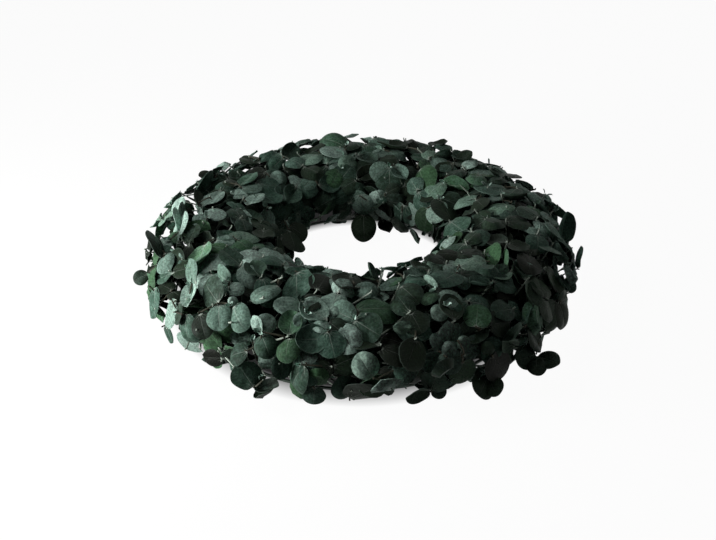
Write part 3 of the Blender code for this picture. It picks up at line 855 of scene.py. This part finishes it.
setLook = {
    "roots": (0.7, 0.8, 0.9, 0.97),  # along a shoot, where a little one may leave it
    "rootStep": 0.1,
    "bend": 0.45,
    "thick": 0.85,  # of a side twig
    "points": 6,
    "age": 1.3,
    "clearance": (0.003, 0.006, 0.009),  # kept free above a leaf
    "clearShare": 0.42,
    "freshTone": 0.5,  # leaves paler than this stay in view, and their pairs have opening leaves
    "viewer": (0, -0.668, 0.450),
    "inView": 0.25,  # of a leaf's length, the radius of what nothing may cover
    "sight": (0.075, 0.004),  # metres in front of a leaf, the ends of that
    "faced": 0.5,  # opening leaves only where a pair faces the viewer more than this
    "openingLeaf": (0.004, 0.007),
    "openingRise": (0.5, 1.1),
    "openingRoot": 0.001,
    "openingWidth": 0.8,
    "openingKind": 6,
    "anyGreen": 0.1,
}
# The gaps that one sees through or into, in millimetres: the two ends of each, and its radius.
openings = (
    ((-155, -85, 92), (-195, 65, 0), 2.6), ((-170, -131, 91), (-213, 6, 0), 2.5),
    ((-148, -154, 91), (-186, -25, 1), 2.4), ((-162, -166, 81), (-197, -56, 1), 3.3),
    ((-151, -176, 70), (-178, -87, 1), 3.2), ((176, -74, 92), (220, 72, 4), 2.6),
    ((182, -103, 92), (228, 39, 2), 2.1), ((175, -137, 92), (220, -3, 1), 3.9),
    ((52, 96, 91), (61, 223, 32), 4.8), ((-67, 119, 91), (-75, 219, 46), 3.6),
    ((-67, -221, 56), (-77, -158, 1), 2.7), ((-58, -224, 45), (-64, -175, 1), 3.8),
    ((-22, -230, 41), (-25, -186, 0), 2.2), ((164, -163, 48), (184, -104, 1), 5.6),
    ((134, -188, 29), (143, -156, 1), 4.4), ((126, -194, 30), (134, -162, 1), 4.4),
    ((-61, -224, 40), (-67, -181, 1), 5.0), ((-57, -224, 30), (-61, -194, 1), 3.3),
    ((-165, -5, 92), (-197, 121, 24), 3.9), ((-181, 26, 91), (-203, 111, 48), 6.2),
    ((-184, -141, 77), (-221, -34, 1), 5.8), ((-185, -140, 63), (-214, -55, 1), 3.9),
    ((-191, -88, 92), (-230, 30, 19), 5.1), ((-187, -109, 92), (-230, 21, 8), 4.1),
    ((-197, -61, 92), (-228, 37, 34), 5.2), ((54, -84, 91), (68, 64, 1), 8.2),
    ((67, -78, 91), (84, 72, 0), 5.1), ((-19, -60, 91), (-23, 93, 1), 7.3),
    ((-22, -230, 34), (-24, -194, 0), 4.1), ((-170, -156, 46), (-190, -99, 0), 3.7),
    ((13, -231, 36), (14, -193, 0), 4.1), ((25, -230, 41), (27, -188, 1), 5.0),
    ((-22, -230, 26), (-23, -204, 1), 6.7), ((101, 147, 92), (108, 205, 66), 9.4),
    ((-190, -117, 92), (-232, 3, 13), 7.7), ((-26, -117, 91), (-33, 24, 0), 7.1),
    ((-189, -100, 91), (-230, 23, 13), 7.3), ((-139, 81, 91), (-156, 171, 48), 8.1),
    ((-193, -31, 92), (-222, 65, 38), 6.8), ((30, -229, 42), (33, -183, 0), 5.3),
    ((-175, 32, 92), (-198, 121, 46), 7.1), ((-98, -210, 35), (-107, -172, 1), 5.0),
    ((147, 95, 92), (160, 166, 58), 6.7), ((-194, -72, 92), (-229, 35, 27), 5.6),
    ((194, 22, 91), (213, 89, 56), 8.5), ((-19, -230, 29), (-20, -201, 1), 5.4),
    ((-189, -98, 91), (-230, 26, 14), 6.4), ((-194, -32, 91), (-223, 62, 38), 6.1),
    ((16, 161, 92), (18, 231, 62), 6.3), ((-108, -205, 43), (-119, -156, 1), 4.4),
    ((-175, 23, 92), (-205, 142, 30), 5.5),
)
sightLines = [(Vector(near) / 1000, Vector(far) / 1000, radius / 1000)
              for near, far, radius in openings]


def tipPlace(degrees, *key):
    # where on the foliage's section a stem or twig ends
    angle = math.radians(degrees + stray["tip"] * wobble(*key, "tip"))
    reach = 1 + stray["reach"] * wobble(*key, "reach")
    tall = wreath["reachUp" if math.sin(angle) > 0 else "reachDown"]
    return (wreath["reachOut"] * reach * math.cos(angle),
            wreath["middleHeight"] + tall * reach * math.sin(angle))


def outward(place, degrees):
    # straight out of the foliage, and level on its lower half
    angle = math.radians(min(max(degrees, 0), 180))
    spoke = Vector((place.x, place.y, 0)).normalized()
    rise = Vector((0, 0, math.sin(angle) / wreath["reachUp"]))
    return (spoke * math.cos(angle) / wreath["reachOut"] + rise).normalized()


def mainStem(bunch, lane):
    key = (bunch, lane.lower())
    beside = lanes[lane]["beside"]
    start = bunch * bunchStep + math.radians(stray["start"]) * wobble(*key, "start")
    sweep = sprigSweep * (1 + stray["sweep"] * wobble(*key, "sweep"))
    offset, height = tipPlace(lanes[lane]["tip"], *key)

    def place(share):
        bound = wreath["boundShare"]
        lean = (max(0.0, share - bound) / (1 - bound)) ** wreath["leanCurve"]
        up = climbed(sweep * share)
        return ringPoint(start + sweep * share, beside + (offset - beside) * lean,
                         up + (height - up) * lean)

    return place


def sideTwig(root, bunch, lane, number):
    key = (bunch, lane.lower(), number)
    _, turn, degrees = lanes[lane]["twigs"][number]
    start = math.atan2(root.y, root.x)
    across = math.hypot(root.x, root.y) - wreath["radius"]
    sweep = math.radians(turn * (1 + stray["twigSweep"] * wobble(*key, "sweep")))
    offset, height = tipPlace(degrees, *key)

    def place(share):
        lean = share ** wreath["leanCurve"]
        return ringPoint(start + sweep * share, across + (offset - across) * lean,
                         root.z + (height - root.z) * lean)

    return place


def lengthOf(path, steps=8):
    points = [path(i / steps) for i in range(steps + 1)]
    return sum((b - a).length for a, b in zip(points, points[1:]))


def planSprig(bunch, lane):
    # the sprig's shoots, and the places along them that carry a leaf pair
    look = sprigLook
    main = mainStem(bunch, lane)
    shoots = [{"path": main, "degrees": lanes[lane]["tip"], "thick": wreath["stemRadius"],
               "points": look["stemPoints"], "age": look["stemAge"]}]
    for number, (rooted, _, degrees) in enumerate(lanes[lane]["twigs"]):
        shoots.append({"path": sideTwig(main(rooted), bunch, lane, number), "degrees": degrees,
                       "thick": look["twigRadius"], "points": look["twigPoints"],
                       "age": look["twigAge"]})
    pairs = []
    for number, shoot in enumerate(shoots):
        length = lengthOf(shoot["path"])
        step = look["pairStep"] * (1 + stray["step"] * wobble(bunch, lane, number, "step"))
        tip = shoot["path"](1)
        low, high = look["looseArc"]
        inArc = low < math.degrees(math.atan2(tip.y, tip.x)) % 360 < high
        loose = inArc and shoot["degrees"] < look["looseBelow"]
        if loose:
            shoot["degrees"] *= look["looseFace"]
        for level in range(1 if loose else look["pairs"] + (number == 0)):
            pairs.append({"shoot": shoot, "share": 1 - level * step / length, "level": level,
                          "key": f"{bunch}-{lane}-{number}-{level}", "turn": level * math.pi / 2})
        budded = wobble(bunch, lane, number, "bud") < 2 * look["budShare"] - 1
        fresh = wobble(bunch, lane, number, "green") > 1 - 2 * look["greenShare"]
        shoot.update({
            "loose": loose,
            "firstTurn": math.pi * wobble(bunch, lane, number, "turn"),
            "tone": look["shootTone"] * wobble(bunch, lane, number, "tone"),
            "green": look["green"] * fresh,
            "tipReach": look["budReach" if budded else "stubReach"],
            "tipFace": outward(tip, shoot["degrees"]),
        })
        if budded:
            pairs.append({"shoot": shoot, "share": 1, "level": -1,
                          "key": f"{bunch}-{lane}-{number}-bud", "turn": math.pi / 2})
    for number, share in enumerate(look["innerPairs"]):
        pairs.append({"shoot": shoots[0], "share": share, "level": 3,
                      "key": f"{bunch}-{lane}-deep-{number}", "turn": number * math.pi / 2})
    return {"name": f"eucalyptusSprig{lane}{bunch + 1:02d}",
            "node": f"sprig_{lane.lower()}_{bunch + 1:02d}",
            "tone": look["sprigTones"][lane][bunch],
            "shoots": shoots, "pairs": pairs, "leaves": []}


mostDiscs = 6000
placedDiscs = {"middles": np.zeros((mostDiscs, 3)), "faces": np.zeros((mostDiscs, 3)),
               "radii": np.zeros(mostDiscs), "count": 0}
almostZero = 1e-6


def keepDisc(middle, face, radius):
    count = placedDiscs["count"]
    placedDiscs["middles"][count] = middle
    placedDiscs["faces"][count] = face
    placedDiscs["radii"][count] = radius * sprigLook["discShare"]
    placedDiscs["count"] += 1


def offZero(values):
    return np.where(np.abs(values) < almostZero, almostZero, values)


def dot(a, b):
    return (a * b).sum(2)


def cutLengths(middles, faces, radii):
    # how far each trial leaf cuts through the leaves already placed, taking each leaf as a disc
    others, otherFaces, otherRadii = (
        placedDiscs[name][:placedDiscs["count"]] for name in ("middles", "faces", "radii"))
    near = np.linalg.norm(others - middles.mean(0), axis=1) < sprigLook["nearby"]
    if not near.any():
        return np.zeros(len(middles))
    gap = others[near][None] - middles[:, None]
    faces, otherFaces = faces[:, None], otherFaces[near][None]
    radii, otherRadii = radii[:, None], otherRadii[near][None]
    line = np.cross(faces, otherFaces)
    size = np.linalg.norm(line, axis=2, keepdims=True)
    line = line / np.maximum(size, almostZero)
    inFirst, inOther = np.cross(line, faces), np.cross(line, otherFaces)
    firstFar = dot(otherFaces, gap) / offZero(dot(otherFaces, inFirst))
    otherFar = -dot(faces, gap) / offZero(dot(faces, inOther))
    shift = dot(gap + inOther * otherFar[..., None] - inFirst * firstFar[..., None], line)
    firstHalf = np.sqrt(np.maximum(radii ** 2 - firstFar ** 2, 0))
    otherHalf = np.sqrt(np.maximum(otherRadii ** 2 - otherFar ** 2, 0))
    shared = np.minimum(firstHalf, shift + otherHalf) - np.maximum(-firstHalf, shift - otherHalf)
    crossed = np.where((firstHalf > 0) & (otherHalf > 0), np.maximum(shared, 0), 0)
    # leaves that are nearly parallel only need a small gap between them
    apart = np.abs(dot(gap, faces))
    reach = radii + otherRadii - np.linalg.norm(gap, axis=2)
    touching = np.where((apart < sprigLook["touchGap"]) & (reach > 0), reach, 0)
    return np.where(size[..., 0] < sprigLook["nearlyParallel"], touching, crossed).sum(1)


def acrossOpenings(middles, faces, radii):
    # what it costs each trial leaf to reach into the gaps and lines of sight that stay open
    near, run = openingEnds[None, :, 0], (openingEnds[:, 1] - openingEnds[:, 0])[None]
    middles, faces = middles[:, None], faces[:, None]
    share = dot(middles - near, faces) / offZero(dot(run, faces))
    crossing = near + share[..., None] * run
    half = radii[:, None] * sprigLook["discShare"]
    depth = half + openingRadii[None] - np.linalg.norm(crossing - middles, axis=2)
    cost = sprigLook["openCost"] + depth * sprigLook["openSteepness"]
    return np.where((share > 0) & (share < 1) & (depth > 0), cost, 0).sum(1)


def fullnessAt(angle, levels):
    step = 360 / len(levels)
    return np.interp(angle, np.arange(len(levels) + 1) * step, (*levels, levels[0]))


def outOfBounds(middles, faces, radii, allowed):
    # what it costs each trial leaf to go through the table or past the foliage's section
    flat = np.where(np.abs(faces[:, 2:]) < 0.9, [[0, 0, 1.0]], [[1.0, 0, 0]])
    first = np.cross(faces, flat)
    first /= np.linalg.norm(first, axis=1, keepdims=True)
    second = np.cross(faces, first)
    turns = np.arange(8) * math.pi / 4
    spokes = (np.cos(turns)[None, :, None] * first[:, None]
              + np.sin(turns)[None, :, None] * second[:, None])
    rim = middles[:, None] + radii[:, None, None] * spokes
    offset = np.linalg.norm(rim[..., :2], axis=2) - wreath["radius"]
    rise = rim[..., 2] - wreath["middleHeight"]
    angle = np.degrees(np.arctan2(rim[..., 1], rim[..., 0])) % 360
    full = fullnessAt(angle, fullness)
    wide = np.where(offset > 0, section["out"] * full,
                    section["in"] * fullnessAt(angle, innerFullness))
    tall = np.where(rise > 0, section["up"] * full, section["down"])
    past = np.maximum(np.hypot(offset / wide, rise / tall) - allowed, 0).max(1)
    low = np.maximum(sprigLook["floorGap"] - rim[..., 2].min(1), 0)
    high = np.maximum(rim[..., 2].max(1) - section["top"], 0)
    return (low + high) * sprigLook["tableCost"] + past * sprigLook["pastCost"]


def risen(across, face, rise):
    # the axis and the upper side of a leaf that stands up from its pair's plane
    return (across * math.cos(rise) + face * math.sin(rise),
            face * math.cos(rise) - across * math.sin(rise))


def fittedLeaf(leaf, kinds):
    # a leaf on its base, with its tip along the axis and its upper side facing its face: the
    # first of the kinds that stays off the table and under the top, or the last one moved there
    base, axis, face, length, wide = leaf
    turn = Matrix((axis, face.cross(axis), face)).transposed().to_4x4()
    place = Matrix.Translation(base) @ turn @ Matrix.Diagonal((length, length * wide, length, 1))
    rows = np.array(place)
    for kind in kinds:
        heights = leafPoints[kind] @ rows[2, :3] + rows[2, 3]
        low, high = heights.min() - sprigLook["floorGap"], heights.max() - section["top"]
        if low >= 0 >= high:
            break
    else:
        place = Matrix.Translation((0, 0, max(0, -low) - max(0, high))) @ place
    return kind, place


def placePair(sprig, pair):
    # tries poses of the two leaves and keeps the pair that cuts least through its neighbours
    look = sprigLook
    pick = random.Random(f"{wreath['seed']}-{pair['key']}")
    shoot, share, level = pair["shoot"], pair["share"], pair["level"]
    root = shoot["path"](share)
    step = look["aheadStep"]
    ahead = (shoot["path"](share + step) - shoot["path"](share - step)).normalized()
    bud = level < 0
    if bud:
        ahead = shoot["tipFace"]
        root = root + ahead * shoot["tipReach"] * look["budRoot"]
    span = look[{-1: "budLeaf", 0: "frontLeaf", 3: "deepLeaf"}.get(level, "backLeaf")]
    facing = ahead
    if not bud:
        facing = outward(root, shoot["degrees"]).lerp(ahead, look["faceAhead"]).normalized()
    tries = look["budTries" if bud else "tries"]
    trials = []
    for attempt in range(tries):
        freedom = look["deepFreedom" if level == 3 else "freedom"]
        freedom += look["moreFreedom"] * attempt / tries
        tiltAxis = Vector((pick.gauss(0, 1), pick.gauss(0, 1), pick.gauss(0, 1))).normalized()
        tilt = pick.gauss(0, look["tilt"]) * freedom
        face = (Matrix.Rotation(tilt, 3, tiltAxis) @ facing).normalized()
        across = (Vector((0, 0, 1)) if bud else ahead).cross(face).normalized()
        twist = pick.uniform(-look["twist"], look["twist"]) * freedom
        axis = Matrix.Rotation(shoot["firstTurn"] + pair["turn"] + twist, 3, face) @ across
        leaves = []
        for side in (1, -1):
            rise = pick.uniform(*look["budRise" if bud else "rise"])
            out, up = (way.normalized() for way in risen(axis * side, face, rise))
            roll = pick.uniform(-look["roll"], look["roll"])
            up = (Matrix.Rotation(roll, 3, out) @ up).normalized()
            length = pick.uniform(*span) * (1 - look["shrink"] * attempt / tries)
            leaves.append((root + out * look["clasp"], out, up, length,
                           pick.uniform(*look["leafWidth"])))
        trials.append(leaves)
    flat = [leaf for leaves in trials for leaf in leaves]
    middles = np.array([base + out * length * 0.5 for base, out, up, length, wide in flat])
    faces = np.array([up for base, out, up, length, wide in flat])
    radii = np.array([length * 0.5 for base, out, up, length, wide in flat])
    proud = pick.uniform(*look["strayProud" if pick.random() < look["strays"] else "proud"])
    if shoot["degrees"] > look["holeFrom"]:
        proud = 0  # the hole stays clear
    allowed = look["room" if level < 1 else "deepReach"] + proud
    allowed += look["looseRoom"] if shoot["loose"] else 0
    cost = cutLengths(middles, faces, radii) + outOfBounds(middles, faces, radii, allowed)
    cost += acrossOpenings(middles, faces, radii)
    cost = cost.reshape(-1, 2).sum(1) + look["tryCost"] * np.arange(tries)
    best = int(cost.argmin())
    if cost[best] > look["worst" if level < 1 else "worstBehind"]:
        if bud:
            shoot["tipReach"] = look["stubReach"]
        return []
    if level == 0:
        shoot["tipFace"] = (trials[best][0][2] + trials[best][1][2]).normalized()
    for i in (2 * best, 2 * best + 1):
        keepDisc(middles[i], faces[i], radii[i])
    kinds = look["looseKinds"] if shoot["loose"] else range(len(leafKinds))
    if bud:
        kinds = look["budKinds"]
    kept = []
    for leaf in trials[best]:
        kind, place = fittedLeaf(leaf, pick.sample(list(kinds), len(kinds)))
        # painted shade: pairs further back on a shoot are darker, for the shade deep in the
        # foliage; new bud leaves are paler
        tone = sprig["tone"] + shoot["tone"] + look["ageTone"][level]
        tone = min(tone + pick.gauss(0, look["leafTone"]), look["palest"])
        # painted shade: the leaves of the loose outer sprigs are darker, for the dark gaps behind
        # the pale leaves in front
        tone -= look["looseShade"] if shoot["loose"] else 0
        green = shoot["green"] * pick.uniform(*look["greenFade"]) + pick.uniform(*look["anyGreen"])
        kept.append((leafKinds[kind], place, min(1.0, max(0.0, tone)), green))
    return kept


def setPair(number, node, leaves):
    # a little shoot from the nearest point of a sprig's shoots to the node, with the node's leaves
    look = setLook
    base = Vector(node) / 1000
    roots = []
    for sprig in sprigs:
        for shoot in sprig["shoots"]:
            for share in look["roots"]:
                away = (shoot["path"](share) - base).length
                roots.append((away, sprig["name"], share, sprig, shoot))
    _, _, share, sprig, shoot = min(roots, key=lambda root: root[:3])
    start = shoot["path"](share)
    ahead = (shoot["path"](share) - shoot["path"](share - look["rootStep"])).normalized()
    bend = start + ahead * (base - start).length * look["bend"]
    pick = random.Random(f"{wreath['seed']}-set-{number}")
    spans, ups, tones = [], [], []
    for x, y, z, faceX, faceY, faceZ, kind, pale, green in leaves:
        # the paleness holds painted light and painted shade as well as the leaf's own tone
        span, tone = Vector((x, y, z)) / 1000 - base, pale / 100
        out = span.normalized()
        face = Vector((faceX / 10, faceY / 10, faceZ / 10))
        up = (face - out * face.dot(out)).normalized()
        spans.append(span)
        ups.append(up)
        tones.append(tone)
        middle = base + span / 2
        keepDisc(np.array(middle), np.array(up), span.length / 2)
        for height in look["clearance"]:
            keepDisc(np.array(middle + up * height), np.array(up),
                     span.length * look["clearShare"])
        if tone > look["freshTone"]:
            toViewer = (Vector(look["viewer"]) - middle).normalized()
            near, far = (middle + toViewer * end for end in look["sight"])
            sightLines.append((near, far, span.length * look["inView"]))
        kind, place = fittedLeaf((base, out, up, span.length, 1.0), [kind])
        green = green / 100 + look["anyGreen"] * pick.random()
        sprig["leaves"].append((fineKinds[kind], place, tone, green))
    facing = sum(ups, Vector()).normalized()
    sprig["shoots"].append({
        "path": lambda along: start.lerp(bend, along).lerp(bend.lerp(base, along), along),
        "thick": sprigLook["twigRadius"] * look["thick"], "points": look["points"],
        "age": look["age"], "tipReach": sprigLook["stubReach"], "tipFace": facing})
    faced = facing.dot((Vector(look["viewer"]) - base).normalized())
    if len(leaves) > 1 and tones[0] > look["freshTone"] and faced > look["faced"]:
        # two leaves still opening, at right angles to the grown ones
        across = facing.cross(spans[0]).normalized()
        for side in (1, -1):
            out, up = risen(across * side, facing, pick.uniform(*look["openingRise"]))
            leaf = (base + facing * look["openingRoot"], out, up,
                    pick.uniform(*look["openingLeaf"]), look["openingWidth"])
            kind, place = fittedLeaf(leaf, [look["openingKind"]])
            sprig["leaves"].append((leafKinds[kind], place, 1.0, 0.0))


sprigs = [planSprig(bunch, lane) for bunch in range(wreath["bunches"]) for lane in lanes]
for number, (node, *leaves) in enumerate(setLeaves):
    setPair(number, node, leaves)
openingEnds = np.array([[near, far] for near, far, _ in sightLines])
openingRadii = np.array([radius for _, _, radius in sightLines])
for level in (0, -1, 1, 2, 3):
    for sprig in sprigs:
        for pair in sprig["pairs"]:
            if pair["level"] == level:
                sprig["leaves"] += placePair(sprig, pair)
print("leaves placed:", sum(len(sprig["leaves"]) for sprig in sprigs))


def buildSprig(sprig):
    look = sprigLook
    pieces = []
    for number, shoot in enumerate(sprig["shoots"]):
        thick, steps = shoot["thick"], shoot["points"] - 1
        route = [(shoot["path"](i / steps), thick + (look["tipRadius"] - thick) * (i / steps))
                 for i in range(steps + 1)]
        # the tip turns out between the last two leaves and swells into a bud
        node = route[-1][0]
        for reach, swell in look["budSwell"]:
            place = node + shoot["tipFace"] * shoot["tipReach"] * reach
            route.append((place, look["tipRadius"] * swell))
        stem = wireThrough(f"shoot{number}", route)
        stem.data.materials.append(barkStuff)
        start = route[0][0]
        paintPoints(stem.data, "tone", [
            shoot["age"] * max(0.0, 1 - (v.co - start).length / look["youngFrom"])
            for v in stem.data.vertices])
        pieces.append(stem)
    for kind, place, tone, green in sprig["leaves"]:
        mesh = kind.copy()
        mesh.transform(place)
        paintPoints(mesh, "tone", [tone] * len(mesh.vertices))
        paintPoints(mesh, "warmth", [green] * len(mesh.vertices))
        pieces.append(linkObject("leaf", mesh))
    selectOnly(*pieces)
    bpy.ops.object.join()
    whole = pieces[0]
    whole.name = whole.data.name = sprig["name"]
    standFor(whole, "eucalyptus", sprig["node"])


for sprig in sprigs:
    buildSprig(sprig)
print("sprigs built:", len(sprigs))

studio = {
    "floorSize": 8.0,
    "floorColour": "#4f4f4e",
    "floorGlow": 0.96,  # what the camera adds to the lit floor, so that it reads as white paper
    "shadeInner": (0.104, 0.120),  # metres from the middle, where the glow fades into a painted shadow under the foliage
    "shadeOuter": (0.172, 0.198),  # and where that painted shadow ends
    # the glow that is left inside the painted shadow
    "shade": 0.02,
    "white": 1.0,
    "fill": 0.002,
    "key": {"place": (-0.707, -0.286, 0.162), "size": (0.24, 0.18), "power": 5.6},
    "top": {"place": (-0.494, -0.087, 0.598), "size": (0.3, 0.3), "power": 1.1},
}
cameraLook = {
    "elevation": 31.5,
    "distance": 0.784,
    "aimHeight": 0.040,
    "lens": 38.2,
    "sensor": 36,
    "lift": -27 / 716,
    "nearest": 0.01,
}


def emptyTree(owner):
    owner.use_nodes = True
    owner.node_tree.nodes.clear()
    return owner.node_tree


def seenShare(tree):
    # 1 for what the camera, mirrors and glass see, and 0 for what lights the object
    rays = addNode(tree, "LightPath").outputs
    direct = [rays["Is Camera Ray"], rays["Is Glossy Ray"]]
    seen = addNode(tree, "Math", direct, operation="MAXIMUM")
    return addNode(tree, "Math", [seen, rays["Is Transmission Ray"]], operation="MAXIMUM")


def paperFloor():
    look = studio
    selectOnly()
    bpy.ops.mesh.primitive_plane_add(size=look["floorSize"], location=(0, 0, 0))
    floor = bpy.context.object
    floor.name = "paperFloor"
    made = bpy.data.materials.new("whitePaper")
    tree = emptyTree(made)
    at = addNode(tree, "TexCoord").outputs["Object"]
    fromMiddle = addNode(tree, "VectorMath", [at], operation="LENGTH")
    # the camera's glow fades to a painted shadow in a ring under the foliage, where the floor lies
    # in the wreath's shadow
    edges = ((look["shadeInner"], look["floorGlow"], look["shade"]),
             (look["shadeOuter"], look["shade"], look["floorGlow"]))
    inside, outside = (addNode(tree, "MapRange", [fromMiddle, *edge, before, after])
                       for edge, before, after in edges)
    glowOutsidePaintedShadow = addNode(tree, "Math", [inside, outside], operation="MAXIMUM")
    glow = addNode(tree, "Math", [seenShare(tree), glowOutsidePaintedShadow], operation="MULTIPLY")
    paper = addNode(tree, "BsdfDiffuse", {"Color": linear(look["floorColour"])})
    light = addNode(tree, "Emission", {"Color": (1, 1, 1, 1), "Strength": glow})
    both = addNode(tree, "AddShader", [paper, light])
    addNode(tree, "OutputMaterial", {"Surface": both})
    floor.data.materials.append(made)


def paleWorld():
    world = bpy.data.worlds.new("paleStudio")
    bpy.context.scene.world = world
    tree = emptyTree(world)
    level = addNode(tree, "MapRange", [seenShare(tree), 0, 1, studio["fill"], studio["white"]])
    sky = addNode(tree, "Background", {"Color": (1, 1, 1, 1), "Strength": level})
    addNode(tree, "OutputWorld", {"Surface": sky})


def softLamp(name, look):
    lamp = bpy.data.lights.new(name, "AREA")
    lamp.shape = "RECTANGLE"
    lamp.size, lamp.size_y = look["size"]
    lamp.energy = look["power"]
    made = linkObject(name, lamp)
    made.location = look["place"]
    made.rotation_euler = (-Vector(look["place"])).to_track_quat("-Z", "Y").to_euler()


def frontCamera():
    look = cameraLook
    camera = bpy.data.cameras.new("frontCamera")
    camera.lens = look["lens"]
    camera.sensor_width = look["sensor"]
    camera.shift_y = look["lift"]
    camera.clip_start = look["nearest"]
    angle = math.radians(look["elevation"])
    away = Vector((0, -math.cos(angle), math.sin(angle)))
    eye = linkObject("frontCamera", camera)
    eye.location = Vector((0, 0, look["aimHeight"])) + away * look["distance"]
    eye.rotation_euler = (-away).to_track_quat("-Z", "Y").to_euler()
    bpy.context.scene.camera = eye


paperFloor()
paleWorld()
softLamp("softKey", studio["key"])
softLamp("softTop", studio["top"])
frontCamera()
bpy.context.scene.view_settings.view_transform = "Standard"
print("studio set")
